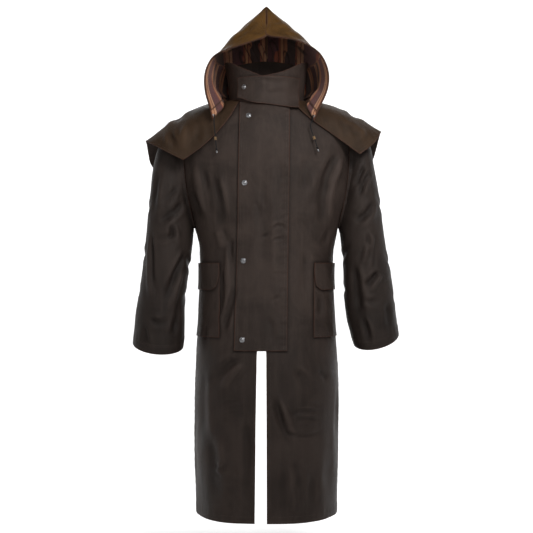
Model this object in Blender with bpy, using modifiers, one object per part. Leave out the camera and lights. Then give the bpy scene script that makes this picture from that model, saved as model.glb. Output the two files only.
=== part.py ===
"""Hooded duster coat, filled out and hollow, with its fly snapped shut and its hood up.

The sizes below are in millimetres and the meshes are made in metres. X is to the picture's right, the coat's
front faces -Y and Z is up. The origin is the middle of the neck opening, level with the front neck seam.
Each panel is an open grid of points, worked out from the tables, that a Solidify modifier makes a wall.
"""

import math

import bpy
import numpy as np
from mathutils import Matrix, Vector
from mathutils.bvhtree import BVHTree

MM = 0.001
RIGHT, LEFT = 1, -1

# Cloth
CLOTH_WALL = 1.6
CAPE_WALL = 1.5
COLLAR_WALL = 3.0
FLY_WALL = 2.4
HOOD_WALL = 1.5
LINING_WALL = 1.0
SEAM_GAP = 0.4
SHOULDER_GAP = 1.0
PANEL_LIFT = 0.5
FLAP_WALL = 2.0
FLAP_LIFT = 0.6
FLAP_CORNER = 0.28
FLY_TOP_SHARE = 0.75

# Torso: a superellipse at each height, closed over the shoulders by a second one
GIRTH_POWER = 2.3
SHOULDER_POWER = 2.8
SHOULDER_START = -200
NECK_HALF_WIDTH = 105
NECK_FRONT = 110
NECK_BACK = 70
NECK_SIDE_HEIGHT = 16
SHOULDER_TIP_X = 232
SHOULDER_TIP_Z = -30
ARMPIT_Z = -340
HEM_Z = -1145

TORSO = {
    "height": (-1145, -1000, -820, -700, -600, -500, -430, -380, -340, -300, -250, -170, -100, 60),
    "half_width": (200, 203, 204, 201, 194, 189, 188, 192, 203, 214, 229, 240, 241, 241),
    "front": (170, 172, 168, 160, 150, 142, 138, 138, 140, 141, 142, 142, 142, 142),
    "back": (165, 168, 165, 155, 145, 136, 130, 128, 126, 125, 125, 125, 125, 125),
}
ARMHOLE = {
    "height": (-340, -325, -300, -250, -200, -150, -100, -60, -30),
    "x": (203, 205, 210, 221, 228, 231, 232, 232, 232),
}
# The open front and the vent in the back, as distances from the centre plane
FRONT_EDGE = {
    "height": (-1145, -690, -640, -590, -560, 60),
    "right": (1.0, -1.0, -4.5, -12.0, -13.0, -13.0),
    "left": (32.0, 26.0, 20.0, 14.5, 14.0, 14.0),
}
BACK_EDGE = {
    "height": (-1145, -760, -700, -650, -610, -580, 60),
    "vent": (40, 34, 30, 14, 2, 0.42, 0.42),
}
FLY_EDGE = {
    "height": (-1145, -680, -340, 60),
    "right": (54, 56, 60, 64),
    "left": (96, 88, 79, 72),
}
POCKET_FRONT_X = 128
POCKET_BACK_X = 176

# Rows of the panels' grids, from the hem to the armpit, and then as shares of the way up to the top seam
FLY_FOOT_Z, POCKET_FOOT_Z, FLAP_FOOT_Z, FLAP_TOP_Z = -680, -645, -515, -440
ROW_HEIGHTS = (
    HEM_Z, -1070, -985, -900, -815, -742, FLY_FOOT_Z, POCKET_FOOT_Z, -600, -556,
    FLAP_FOOT_Z, -478, FLAP_TOP_Z, -390, ARMPIT_Z,
)
ROW_SHARES = (0.1, 0.22, 0.36, 0.5, 0.64, 0.77, 0.88, 0.95, 0.988, 1.0)
SIDE_COLUMNS, CHEST_COLUMNS, FLY_COLUMNS = 5, 3, 3
BACK_SIDE_COLUMNS, BACK_COLUMNS = 2, 5

# Long soft folds of the skirt: where each runs, in degrees from the side seam (front positive)
SKIRT_FOLDS = (
    {"side": RIGHT, "angle": 66, "half_width": 13, "top": -640, "depth": 5.0},
    {"side": RIGHT, "angle": 28, "half_width": 15, "top": -700, "depth": -4.5},
    {"side": RIGHT, "angle": -38, "half_width": 17, "top": -560, "depth": 6.0},
    {"side": LEFT, "angle": 60, "half_width": 14, "top": -660, "depth": 4.5},
    {"side": LEFT, "angle": 24, "half_width": 15, "top": -650, "depth": -5.0},
    {"side": LEFT, "angle": -42, "half_width": 17, "top": -580, "depth": 6.0},
)
FOLD_RUN = 330
FOLD_POWER = 1.3

# Sleeves: a row for each ring, from the armhole down. Each ring lies across the arm from its outer to its
# inner point, half_depth either way along Y, and "follow" is its share of the armhole's own shape.
SLEEVE_COLUMNS = ("outer_x", "outer_z", "inner_x", "inner_z", "middle_y", "half_depth", "follow")
SLEEVE_RIGHT = (
    (254, -37, 206, -346, 0, 52, 0.80),
    (279, -60, 209, -355, -1, 60, 0.45),
    (296, -112, 211, -370, -3, 68, 0.15),
    (307, -178, 213, -391, -5, 73, 0),
    (318, -245, 216, -418, -8, 75, 0),
    (328, -318, 218, -452, -11, 76, 0),
    (338, -388, 219, -488, -14, 76, 0),
    (350, -456, 220, -526, -18, 75, 0),
    (359, -520, 222, -566, -22, 74, 0),
    (364, -572, 228, -608, -26, 74, 0),
    (368, -610, 237, -642, -29, 74, 0),
    (372, -638, 245, -668, -31, 74, 0),
)
SLEEVE_LEFT = (
    (254, -37, 206, -346, 0, 52, 0.80),
    (284, -60, 208, -355, -1, 60, 0.45),
    (308, -112, 209, -370, -3, 68, 0.15),
    (324, -178, 211, -391, -5, 73, 0),
    (331, -245, 215, -418, -8, 75, 0),
    (338, -318, 220, -452, -11, 76, 0),
    (344, -388, 224, -490, -14, 77, 0),
    (351, -456, 229, -532, -18, 76, 0),
    (361, -522, 231, -574, -22, 75, 0),
    (370, -578, 231, -616, -26, 74, 0),
    (374, -628, 232, -652, -29, 73, 0),
    (377, -661, 235, -676, -31, 73, 0),
)
CUFF_FRONT_DROP = 24
CUFF_RINGS = 4
HEAD_PUSH = 0.6
HEAD_OUT = 4

# Collar
COLLAR_TOP = {"half_width": 119, "front": 118, "back": 92}
COLLAR_FRONT_Z, COLLAR_SIDE_Z, COLLAR_BACK_Z = 78, 126, 150
COLLAR_EDGE_POWER = 3
COLLAR_NOTCH = 5
COLLAR_ROWS = {"share": (0, 0.33, 0.67, 1), "dip": (0, 0.9, 1.2, 0)}
TAB_LIFT_TOP, TAB_LIFT_FOOT = 0.6, 10.0
TAB_CLEAR = {"x": (-130, -70, -50, 40, 75, 130), "off": (17, 17, 8, 8, 17, 17)}
TAB_TOP_Z = 74
TAB_FOOT = {"x": (-130, -74, -32, 20, 67, 130), "z": (22, 20, 2, -5, -11, -12)}
TAB_ROWS, TAB_LEAN_SHARE = (0, 0.3, 0.65, 1), 0.65

# Shoulder cape: stations from the front edge round to the middle of the back, each with three points below
# its neck seam, the last one on the hem
CAPE_RIGHT = (
    ((121, -110, -41), (190, -99, -90), (258, -99, -140)),
    ((148, -66, -4), (226, -88, -58), (300, -68, -106)),
    ((167, 0, 13), (252, 0, -22), (326, -3, -67)),
    ((166, 66, -2), (262, 92, -58), (318, 92, -120)),
    ((112, 112, -20), (190, 143, -120), (238, 150, -235)),
)
CAPE_LEFT = (
    ((110, -118, -50), (168, -117, -113), (229, -106, -157)),
    ((150, -70, -2), (226, -92, -74), (303, -76, -118)),
    ((167, 0, 13), (254, 0, -26), (344, -4, -94)),
    ((166, 66, -2), (268, 94, -68), (344, 90, -136)),
    ((112, 112, -20), (192, 143, -125), (242, 152, -240)),
)
CAPE_MIDDLE = ((0, 118, -16), (0, 146, -135), (0, 157, -262))
CAPE_RISE = 3.3
CAPE_LIFT = 6.0
CAPE_NECK_OUT = 1.2
CAPE_ROWS = 8

# Hood: a row for each height, from the lower edge to the peak, and five points from the face edge to the
# seam at the back
HOOD_RIGHT = (
    ((131, -120, -50), (113, -92, -9), (121, -12, 26), (90, 70, 20), (0, 96, 14)),
    ((140, -119, -27), (122, -82, 4), (128, -4, 31), (94, 75, 31), (0, 106, 34)),
    ((150, -118, -6), (135, -72, 26), (136, 4, 42), (99, 84, 42), (0, 116, 46)),
    ((164, -114, 24), (148, -62, 46), (145, 12, 56), (105, 95, 54), (0, 127, 58)),
    ((172, -110, 62), (155, -57, 76), (147, 15, 80), (106, 98, 78), (0, 132, 80)),
    ((168, -109, 98), (153, -55, 106), (143, 15, 108), (103, 96, 108), (0, 132, 110)),
    ((150, -111, 133), (143, -55, 140), (132, 15, 138), (96, 90, 138), (0, 127, 142)),
    ((112, -116, 160), (124, -60, 168), (112, 5, 170), (82, 74, 170), (0, 114, 174)),
    ((62, -120, 176), (96, -68, 196), (90, -8, 202), (66, 56, 202), (0, 98, 204)),
    ((0, -118, 186), (60, -72, 218), (66, -16, 230), (48, 36, 232), (0, 74, 234)),
    ((0, -62, 231), (30, -42, 250), (36, -6, 257), (26, 26, 258), (0, 46, 260)),
)
HOOD_LEFT = (
    ((148, -120, -48), (121, -92, -9), (121, -12, 26), (90, 70, 20), (0, 96, 14)),
    ((154, -119, -24), (129, -82, 4), (128, -4, 31), (94, 75, 31), (0, 106, 34)),
    ((160, -117, -4), (139, -72, 26), (136, 4, 42), (99, 84, 42), (0, 116, 46)),
    ((168, -113, 24), (149, -62, 46), (145, 12, 56), (105, 95, 54), (0, 127, 58)),
    ((172, -110, 60), (156, -57, 72), (147, 15, 80), (106, 98, 78), (0, 132, 80)),
    ((167, -109, 94), (154, -55, 102), (143, 15, 108), (103, 96, 108), (0, 132, 110)),
    ((148, -111, 126), (143, -55, 136), (132, 15, 138), (96, 90, 138), (0, 127, 142)),
    ((108, -116, 146), (122, -60, 162), (111, 5, 170), (82, 74, 170), (0, 114, 174)),
    ((58, -120, 162), (94, -68, 192), (89, -8, 202), (66, 56, 202), (0, 98, 204)),
    ((0, -118, 184), (58, -72, 215), (65, -16, 230), (48, 36, 232), (0, 74, 234)),
    ((0, -62, 229), (29, -42, 249), (36, -6, 257), (26, 26, 258), (0, 46, 260)),
)
HOOD_PEAK = (0, 10, 291)
HOOD_COLUMNS = 10
HOOD_SEAM_X = 0.15
HOOD_SEAT = 0.9
HOOD_CLEAR = 9.0
HOOD_SEAM_WALL = 0.8
LINING_SEAM_WALL = 0.5
LINING_PEAK_DROP = 4.5
LINING_LIFT = 0.5

# Snaps: the five caps, each by its place in the front view
SNAP_RADIUS = 7.5
SNAP_HEIGHT = 3.2
SNAP_PLACES = {
    "snap_throat": (-62, 46),
    "snap_fly_1": (-49, -36),
    "snap_fly_2": (-60, -222),
    "snap_fly_3": (-63, -434),
    "snap_fly_4": (-66, -649),
}

# Drawcords of the hood
CORD_RADIUS = 1.5
CORD_START = (1.9, 5.0)
CORD_POINTS = 24
TOGGLE_SHARE = 0.72
TOGGLE_RADIUS, TOGGLE_LENGTH, TOGGLE_BORE = 3.6, 9.0, 1.95
KNOT_RADIUS = 3.7
BEAD_RADIUS, BEAD_LENGTH = 2.8, 7.0
EYELET_RADIUS = 4.2
CORD_ROUTES = {
    "left": ((-145, 0, -35), (-143.5, -129, -46), (-143, -129, -62), (-141.5, -130, -78), (-140, -131, -95),
             (-138.5, -131.5, -110), (-137, -132, -125)),
    "right": ((130, 0, -37), (127, -128, -47), (121, -130, -60), (121.5, -131, -72), (127, -132, -90),
              (133, -133, -106), (138, -134, -122)),
}


def smooth(places, values, slopes, at):
    """A curve through the values with these slopes (cubic Hermite)."""
    at = np.asarray(at, float)
    i = np.clip(np.searchsorted(places, at) - 1, 0, len(places) - 2)
    span = places[i + 1] - places[i]
    s = np.clip((at - places[i]) / span, 0, 1)
    rise, fall = slopes[i] * span, slopes[i + 1] * span
    return (
        (2 * s**3 - 3 * s**2 + 1) * values[i] + (s**3 - 2 * s**2 + s) * rise
        + (3 * s**2 - 2 * s**3) * values[i + 1] + (s**3 - s**2) * fall
    )


def read(table, column, at):
    """A table's column at any place along its first column, with no overshoot between its rows."""
    places = np.array(next(iter(table.values())), float)
    values = np.array(table[column], float)
    steps = np.diff(values) / np.diff(places)
    slopes = np.concatenate([[steps[0]], np.zeros(len(steps) - 1), [steps[-1]]])
    same_way = steps[:-1] * steps[1:] > 0
    slopes[1:-1][same_way] = 2 / (1 / steps[:-1][same_way] + 1 / steps[1:][same_way])
    return smooth(places, values, slopes, at)


def along(points, shares):
    """Points at these shares of the way along a smooth curve through the given points."""
    points = np.asarray(points, float)
    steps = np.linalg.norm(np.diff(points, axis=0), axis=1)
    run = np.concatenate([[0], np.cumsum(np.maximum(steps, 1e-6))])
    run /= run[-1]
    return np.stack([smooth(run, axis, np.gradient(axis, run), shares) for axis in points.T], axis=-1)


def shoulder_z(x):
    slope = (SHOULDER_TIP_Z - NECK_SIDE_HEIGHT) / (SHOULDER_TIP_X - NECK_HALF_WIDTH)
    return NECK_SIDE_HEIGHT + slope * (np.abs(x) - NECK_HALF_WIDTH)


def torso_depth(x, z, half):
    """How far in front of the shoulder seam (or behind it) the torso is, at a place in the front view."""
    width = read(TORSO, "half_width", z)
    flat = read(TORSO, half, z) * np.maximum(0, 1 - np.abs(x / width) ** GIRTH_POWER) ** (1 / GIRTH_POWER)
    rise = np.clip((z - SHOULDER_START) / (shoulder_z(x) - SHOULDER_START), 0, 1)
    return flat * (1 - rise**SHOULDER_POWER) ** (1 / SHOULDER_POWER)


def neck_point(angle, half):
    """The neck seam at an angle from the side towards the middle, in degrees, on the side at +X."""
    reach = NECK_FRONT if half == "front" else NECK_BACK
    x = NECK_HALF_WIDTH * math.cos(math.radians(angle))
    depth = reach * math.sin(math.radians(angle))
    flat = float(torso_depth(x, SHOULDER_START, half))
    rise = (1 - min(1, depth / flat) ** SHOULDER_POWER) ** (1 / SHOULDER_POWER)
    z = SHOULDER_START + rise * (float(shoulder_z(x)) - SHOULDER_START)
    return (x, depth, z)


def fold_out(side, degrees, height):
    """How far the skirt's long folds move a point outwards."""
    out = np.zeros_like(degrees)
    for fold in SKIRT_FOLDS:
        if fold["side"] != side:
            continue
        across = np.exp(-(((degrees - fold["angle"]) / fold["half_width"]) ** 2))
        run = np.clip((fold["top"] - height) / FOLD_RUN, 0, 1)
        out = out + fold["depth"] * across * run**FOLD_POWER
    return out


def girth_row(height, keys, counts, side, half):
    """One row of a panel below the armpit: evenly spaced points between the key distances from the centre."""
    width = float(read(TORSO, "half_width", height))
    depth = float(read(TORSO, half, height))
    turn = np.radians(np.linspace(0, 110, 441))
    x = width * np.sign(np.cos(turn)) * np.abs(np.cos(turn)) ** (2 / GIRTH_POWER)
    y = depth * np.abs(np.sin(turn)) ** (2 / GIRTH_POWER)
    signed = np.degrees(turn) * (1 if half == "front" else -1)
    out = fold_out(side, signed, height)
    x, y = x + out * np.cos(turn), y + out * np.sin(turn)
    run = np.concatenate([[0], np.cumsum(np.hypot(np.diff(x), np.diff(y)))])
    stops = [0.0] + [float(np.interp(-key, -x, run)) for key in keys]
    row = []
    for start, end, count in zip(stops, stops[1:], counts):
        row.extend(np.linspace(start, end, count + 1)[:-1])
    row.append(stops[-1])
    points = np.stack([np.interp(row, run, x), np.interp(row, run, y)], axis=-1)
    return np.column_stack([points, np.full(len(points), float(height))])


def panel(side, half):
    """A front or back panel's grid, from the hem to the top seam and from the side seam to the middle.

    Y is still a depth here, and X a distance from the centre plane.
    """
    if half == "front":
        edges = [POCKET_FRONT_X, lambda z: read(FLY_EDGE, "right" if side > 0 else "left", z),
                 lambda z: read(FRONT_EDGE, "right" if side > 0 else "left", z)]
        counts = (SIDE_COLUMNS, CHEST_COLUMNS, FLY_COLUMNS)
    else:
        edges = [POCKET_BACK_X, 105, lambda z: read(BACK_EDGE, "vent", z)]
        counts = (BACK_SIDE_COLUMNS, SIDE_COLUMNS - BACK_SIDE_COLUMNS, BACK_COLUMNS)
    at = [lambda z, edge=edge: float(edge(z)) if callable(edge) else edge for edge in edges]
    rows = [girth_row(z, [edge(z) for edge in at], counts, side, half) for z in ROW_HEIGHTS]
    low = rows[-1]
    shoulder_x = np.linspace(SHOULDER_TIP_X, NECK_HALF_WIDTH, SIDE_COLUMNS + 1)
    top = [(x, 0.0, float(shoulder_z(x))) for x in shoulder_x]
    neck_stops = [0.0]
    if half == "front":
        neck_stops += [math.degrees(math.acos(at[k](0) / NECK_HALF_WIDTH)) for k in (1, 2)]
        neck_counts = (CHEST_COLUMNS, FLY_COLUMNS)
    else:
        neck_stops += [math.degrees(math.acos(at[2](0) / NECK_HALF_WIDTH))]
        neck_counts = (BACK_COLUMNS,)
    for start, end, count in zip(neck_stops, neck_stops[1:], neck_counts):
        top += [neck_point(angle, half) for angle in np.linspace(start, end, count + 1)[1:]]
    top = np.array(top)
    column = np.linspace(0, 1, len(top))
    for share in ROW_SHARES:
        z = (1 - share) * low[:, 2] + share * top[:, 2]
        x = (1 - share) * low[:, 0] + share * top[:, 0]
        x = x + (float(read(ARMHOLE, "x", z[0])) - x[0]) * (1 - column) ** 2
        y = torso_depth(x, z, half)
        if share == 1:
            y = top[:, 1]
        rows.append(np.column_stack([x, y, z]))
    return np.array(rows)


def placed(grid, side, half):
    """The panel's grid in its real place."""
    return grid * np.array([side, -1 if half == "front" else 1, 1])


def normals_of(grid):
    """Unit normals of a grid, from its rows and columns."""
    down = np.gradient(grid, axis=0)
    across = np.gradient(grid, axis=1)
    normal = np.cross(across, down)
    return normal / np.maximum(np.linalg.norm(normal, axis=-1, keepdims=True), 1e-9)


def moved_out(grid, distance):
    """The grid moved along its own normals, towards its outer side."""
    return grid + normals_of(grid) * np.asarray(distance)[..., None]


def clear_of_front(grid, lift):
    """The grid with each point in front of the neck's middle kept this far off the fronts."""
    grid = grid.copy()
    depth = torso_depth(grid[..., 0], grid[..., 2], "front")
    low = (grid[..., 1] < 0) & (depth > 0)
    grid[..., 1] = np.where(low, np.minimum(grid[..., 1], -depth - lift), grid[..., 1])
    return grid


def between_rows(grid, place):
    """A row of the grid, or a place between two rows."""
    i = min(int(place), len(grid) - 2)
    return grid[i] + (grid[i + 1] - grid[i]) * (place - i)


def material(name, colour, roughness, metallic=0.0):
    made = bpy.data.materials.new(name)
    made.use_nodes = True
    shader = made.node_tree.nodes["Principled BSDF"]
    shader.inputs["Base Color"].default_value = (*colour, 1)
    shader.inputs["Roughness"].default_value = roughness
    shader.inputs["Metallic"].default_value = metallic
    return made


def triangles_of(rows, columns, closed, peak, first):
    """The faces of a grid, two triangles to a cell, and a fan to the peak when there is one."""
    faces = []
    last = columns if closed else columns - 1
    for i in range(rows - 1):
        for j in range(last):
            k = (j + 1) % columns
            a, b = i * columns + j, i * columns + k
            c, d = a + columns, b + columns
            faces += [(a, b, d), (a, d, c)] if (i + j + first) % 2 else [(a, b, c), (b, d, c)]
    if peak:
        base = (rows - 1) * columns
        faces += [(base + j, base + j + 1, rows * columns) for j in range(columns - 1)]
    return faces


def sheet(name, grid, wall, cloth, closed=False, peak=None, first=0):
    """A cloth wall on the inner side of a grid, its cells cut as its neighbour's are from row first on."""
    rows, columns = grid.shape[:2]
    points = [tuple(point) for point in grid.reshape(-1, 3) * MM]
    if peak is not None:
        points.append(tuple(np.array(peak) * MM))
    mesh = bpy.data.meshes.new(name)
    mesh.from_pydata(points, [], triangles_of(rows, columns, closed, peak is not None, first))
    mesh.materials.append(cloth)
    obj = bpy.data.objects.new(name, mesh)
    COAT.objects.link(obj)
    thick = obj.modifiers.new("Wall", "SOLIDIFY")
    thick.thickness = wall * MM
    thick.offset = -1
    thick.use_rim = True
    return obj


def facing(grid, outward):
    """The grid with its columns turned round where its normals point the wrong way."""
    middle = tuple(n // 2 for n in grid.shape[:2])
    normal = np.cross(
        grid[middle[0], middle[1] + 1] - grid[middle], grid[middle[0] + 1, middle[1]] - grid[middle]
    )
    return grid if np.dot(normal, outward) > 0 else grid[:, ::-1]


def joined_columns(right, left):
    """A grid that runs from one panel's columns on into its neighbour's."""
    return np.concatenate([right, left], axis=1)


def surface_of(obj):
    graph = bpy.context.evaluated_depsgraph_get()
    return BVHTree.FromObject(obj, graph)


def on_surface(obj, x, z, from_y=-0.5):
    """Where a line from the front meets the object, and the surface's normal there."""
    place, normal, _, _ = surface_of(obj).ray_cast(Vector((x * MM, from_y, z * MM)), Vector((0, 1, 0)))
    return place, normal


def turned(name, profile, metal, steps=16):
    """A turned piece on +Z, from a profile of radius and height, top to bottom."""
    mesh = bpy.data.meshes.new(name)
    points = [(radius * MM, 0, height * MM) for radius, height in profile]
    mesh.from_pydata(points, [(i, i + 1) for i in range(len(points) - 1)], [])
    mesh.materials.append(metal)
    obj = bpy.data.objects.new(name, mesh)
    COAT.objects.link(obj)
    screw = obj.modifiers.new("Turn", "SCREW")
    screw.axis = "Z"
    screw.steps = steps
    screw.render_steps = steps
    screw.use_merge_vertices = True
    screw.merge_threshold = 1e-5
    screw.use_smooth_shade = True
    return obj


def seated(obj, place, normal, gap=0.3):
    """Puts a turned piece on a surface, standing along its normal."""
    turn = normal.to_track_quat("Z", "Y").to_matrix().to_4x4()
    obj.matrix_world = Matrix.Translation(place + normal * gap * MM) @ turn


def aligned(obj, middle, direction):
    """Puts a turned piece's middle at a point, with its axis along a direction."""
    turn = Vector(direction).to_track_quat("Z", "Y").to_matrix().to_4x4()
    obj.matrix_world = Matrix.Translation(Vector(middle) * MM) @ turn


def tube(name, points, radius, cloth):
    curve = bpy.data.curves.new(name, "CURVE")
    curve.dimensions = "3D"
    curve.bevel_depth = radius * MM
    curve.bevel_resolution = 2
    curve.use_fill_caps = True
    spline = curve.splines.new("POLY")
    spline.points.add(len(points) - 1)
    for point, place in zip(spline.points, points):
        point.co = (*(np.array(place) * MM), 1)
    curve.materials.append(cloth)
    obj = bpy.data.objects.new(name, curve)
    COAT.objects.link(obj)
    return obj


def make_body():
    """Two fronts and two backs. Returns their grids in place."""
    grids = {}
    for side, word in ((RIGHT, "right"), (LEFT, "left")):
        for half in ("front", "back"):
            grid = placed(panel(side, half), side, half)
            outward = (0.3 * side, -1 if half == "front" else 1, 0)
            if half == "front":
                side_seam = grid[: len(ROW_HEIGHTS), 0]
                side_seam[:, 1] -= SEAM_GAP / 2
                grid[-1, : SIDE_COLUMNS + 1, 1] -= SHOULDER_GAP / 2
            else:
                grid[: len(ROW_HEIGHTS), 0, 1] += SEAM_GAP / 2
                grid[-1, : SIDE_COLUMNS + 1, 1] += SHOULDER_GAP / 2
            grids[half, word] = grid
            sheet(f"{half}_{word}", facing(grid, outward), CLOTH_WALL, WAXED)
    return grids


def make_sleeve(word, side, table, grids):
    """A tube from the armhole's own points to the cuff."""
    front = grids["front", word][len(ROW_HEIGHTS) - 1:, 0][::-1]
    back = grids["back", word][len(ROW_HEIGHTS) - 1:, 0]
    armhole = np.concatenate([front, back[1:-1]])
    turn = 2 * math.pi * np.arange(len(armhole)) / len(armhole)
    rings = [armhole + np.array([side * SEAM_GAP, 0, 0])]
    for place, values in enumerate(table):
        row = dict(zip(SLEEVE_COLUMNS, values))
        outer = np.array([side * row["outer_x"], row["middle_y"], row["outer_z"]])
        inner = np.array([side * row["inner_x"], row["middle_y"], row["inner_z"]])
        ring = (outer + inner) / 2 + np.outer(np.cos(turn), (outer - inner) / 2)
        ring[:, 1] -= row["half_depth"] * np.sin(turn)
        drop = max(0, (place + 1 - (len(table) - CUFF_RINGS)) / CUFF_RINGS)
        ring[:, 2] -= CUFF_FRONT_DROP * drop * np.sin(turn)
        push = np.array([side * (row["outer_x"] - SHOULDER_TIP_X), 0, 0])
        follow = row["follow"]
        outwards = (0.5 + 0.5 * np.cos(turn))[:, None]
        head = armhole + push * outwards * HEAD_PUSH + np.array([side * HEAD_OUT, 0, 0])
        rings.append(follow * head + (1 - follow) * ring)
    sheet(f"sleeve_{word}", closed_facing(np.array(rings)), CLOTH_WALL, WAXED, closed=True)


def closed_facing(grid):
    """A closed tube's grid, its columns turned round where its normals point inwards."""
    i = len(grid) // 2
    normal = np.cross(grid[i, 1] - grid[i, 0], grid[i + 1, 0] - grid[i, 0])
    return grid if np.dot(normal, grid[i, 0] - grid[i].mean(axis=0)) > 0 else grid[:, ::-1]


def neck_ring(grids):
    """The neck seam's points from the right front edge round the back to the left front edge."""
    right_front = grids["front", "right"][-1, SIDE_COLUMNS:][::-1]
    right_back = grids["back", "right"][-1, SIDE_COLUMNS + 1:]
    left_back = grids["back", "left"][-1, SIDE_COLUMNS + 1:][::-1]
    left_front = grids["front", "left"][-1, SIDE_COLUMNS:]
    return np.concatenate([right_front, right_back, left_back[1:], left_front])


def make_collar(ring):
    """A stand collar on the neck seam, open at the front under the throat tab."""
    base = ring + np.array([0, 0, SEAM_GAP + 0.1])
    depth = np.where(ring[:, 1] < 0, NECK_FRONT, NECK_BACK)
    turn = np.arctan2(-ring[:, 1] / depth, ring[:, 0] / NECK_HALF_WIDTH)
    reach = np.where(ring[:, 1] < 0, COLLAR_TOP["front"], COLLAR_TOP["back"])
    forward = np.maximum(0, np.sin(turn)) ** COLLAR_EDGE_POWER
    behind = np.maximum(0, -np.sin(turn)) ** COLLAR_EDGE_POWER
    top_z = COLLAR_SIDE_Z + (COLLAR_FRONT_Z - COLLAR_SIDE_Z) * forward
    top_z += (COLLAR_BACK_Z - COLLAR_SIDE_Z) * behind
    top = np.column_stack([COLLAR_TOP["half_width"] * np.cos(turn), -reach * np.sin(turn), top_z])
    for end, edge_x in ((0, ring[0, 0]), (-1, ring[-1, 0])):
        top[end, 0] = edge_x
        top[end, 2] -= COLLAR_NOTCH
    outward = np.column_stack([np.cos(turn), -np.sin(turn), np.zeros(len(turn))])
    rows = zip(COLLAR_ROWS["share"], COLLAR_ROWS["dip"])
    grid = np.array([base + (top - base) * share - outward * dip for share, dip in rows])
    sheet("collar", facing(grid, (0, 1, 0)), COLLAR_WALL, WAXED)
    return grid


def make_tab(collar):
    """The throat tab, made from the collar's front columns and moved out."""
    first = len(collar[0]) - 1 - FLY_COLUMNS
    columns = list(range(first, len(collar[0]))) + list(range(0, FLY_COLUMNS + 2))
    columns = columns[::-1]
    base, top = collar[0][columns], collar[-1][columns]
    slope = (top - base) / (top - base)[:, 2:]
    foot_z = np.interp(base[:, 0], TAB_FOOT["x"], TAB_FOOT["z"])
    rows = []
    for share in TAB_ROWS:
        z = foot_z + (TAB_TOP_Z - foot_z) * share
        row = base + slope * (z - base[:, 2])[:, None]
        lift = TAB_LIFT_FOOT + (TAB_LIFT_TOP + FLY_WALL - TAB_LIFT_FOOT) * min(1, share / TAB_LEAN_SHARE)
        rows.append((row, lift))
    grid = np.array([row for row, _ in rows])
    grid = facing(grid, (0, -1, 0))
    lifts = np.array([lift for _, lift in rows])[:, None] * np.ones(grid.shape[:2])
    grid = moved_out(grid, lifts)
    grid = clear_of_front(grid, np.interp(grid[..., 0], TAB_CLEAR["x"], TAB_CLEAR["off"]))
    return sheet("throat_tab", grid, FLY_WALL, WAXED)


def make_fly(grids):
    """The storm fly, made from both fronts' edge columns and moved out."""
    first = ROW_HEIGHTS.index(FLY_FOOT_Z)
    right = grids["front", "right"][first:, SIDE_COLUMNS + CHEST_COLUMNS:]
    left = grids["front", "left"][first:, SIDE_COLUMNS + CHEST_COLUMNS:][:, ::-1]
    grid = joined_columns(right, left)
    grid[-1] = between_rows(grid, len(grid) - 2 + FLY_TOP_SHARE)
    grid = facing(grid, (0, -1, 0))
    grid = moved_out(grid, np.full(grid.shape[:2], PANEL_LIFT + FLY_WALL))
    return sheet("storm_fly", grid, FLY_WALL, WAXED)


def make_pocket(word, side, grids):
    """A patch pocket round the side seam and its flap, both made from the panels' points and moved out."""
    foot, flap_foot, top = (ROW_HEIGHTS.index(z) for z in (POCKET_FOOT_Z, FLAP_FOOT_Z, FLAP_TOP_Z))
    front = grids["front", word][:, : SIDE_COLUMNS + 1][:, ::-1]
    back = grids["back", word][:, 1: BACK_SIDE_COLUMNS + 1]
    both = joined_columns(front, back)
    outward = (side, 0, 0)
    bag = facing(both[foot: top + 1], outward)
    bag = moved_out(bag, np.full(bag.shape[:2], PANEL_LIFT + CLOTH_WALL))
    sheet(f"pocket_{word}", bag, CLOTH_WALL, WAXED)
    flap = both[flap_foot: top + 1].copy()
    flap[0, 0] += (flap[1, 1] - flap[0, 0]) * FLAP_CORNER
    flap[0, -1] += (flap[1, -2] - flap[0, -1]) * FLAP_CORNER
    flap = facing(flap, outward)
    flap = moved_out(flap, np.full(flap.shape[:2], 2 * (PANEL_LIFT + CLOTH_WALL) + FLAP_LIFT))
    sheet(f"pocket_flap_{word}", flap, FLAP_WALL, WAXED)


def make_cape(ring):
    """The shoulder cape, from the neck seam's points out over the shoulders, the chest and the back."""
    first = FLY_COLUMNS
    neck = ring[first: len(ring) - first]
    halves = np.empty((2 * len(neck) - 1, 3))
    halves[::2] = neck
    halves[1::2] = (neck[1:] + neck[:-1]) / 2
    outward = halves * np.array([1, 1, 0])
    outward /= np.linalg.norm(outward, axis=1, keepdims=True)
    halves = halves + outward * (SEAM_GAP + CAPE_NECK_OUT) + np.array([0, 0, CAPE_RISE])
    stations = [[np.array(p) for p in row] for row in CAPE_RIGHT]
    stations.append([np.array(p) for p in CAPE_MIDDLE])
    stations += [[np.array(p) * np.array([-1, 1, 1]) for p in row] for row in CAPE_LEFT[::-1]]
    shares = np.linspace(0, 1, len(halves))
    rings = [halves]
    for k in range(3):
        points = np.array([station[k] for station in stations], float)
        table = {"place": np.linspace(0, 1, len(points))}
        table.update({axis: points[:, n] for n, axis in enumerate("xyz")})
        rings.append(np.stack([read(table, axis, shares) for axis in "xyz"], axis=-1))
    rings = np.array(rings)
    down = np.linspace(0, 1, CAPE_ROWS + 1)
    grid = np.stack([along(rings[:, j], down) for j in range(rings.shape[1])], axis=1)
    grid = clear_of_front(grid, CAPE_LIFT)
    grid = facing(grid, (0, 1, 0.3))
    return sheet("cape", grid, CAPE_WALL, WAXED)


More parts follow.
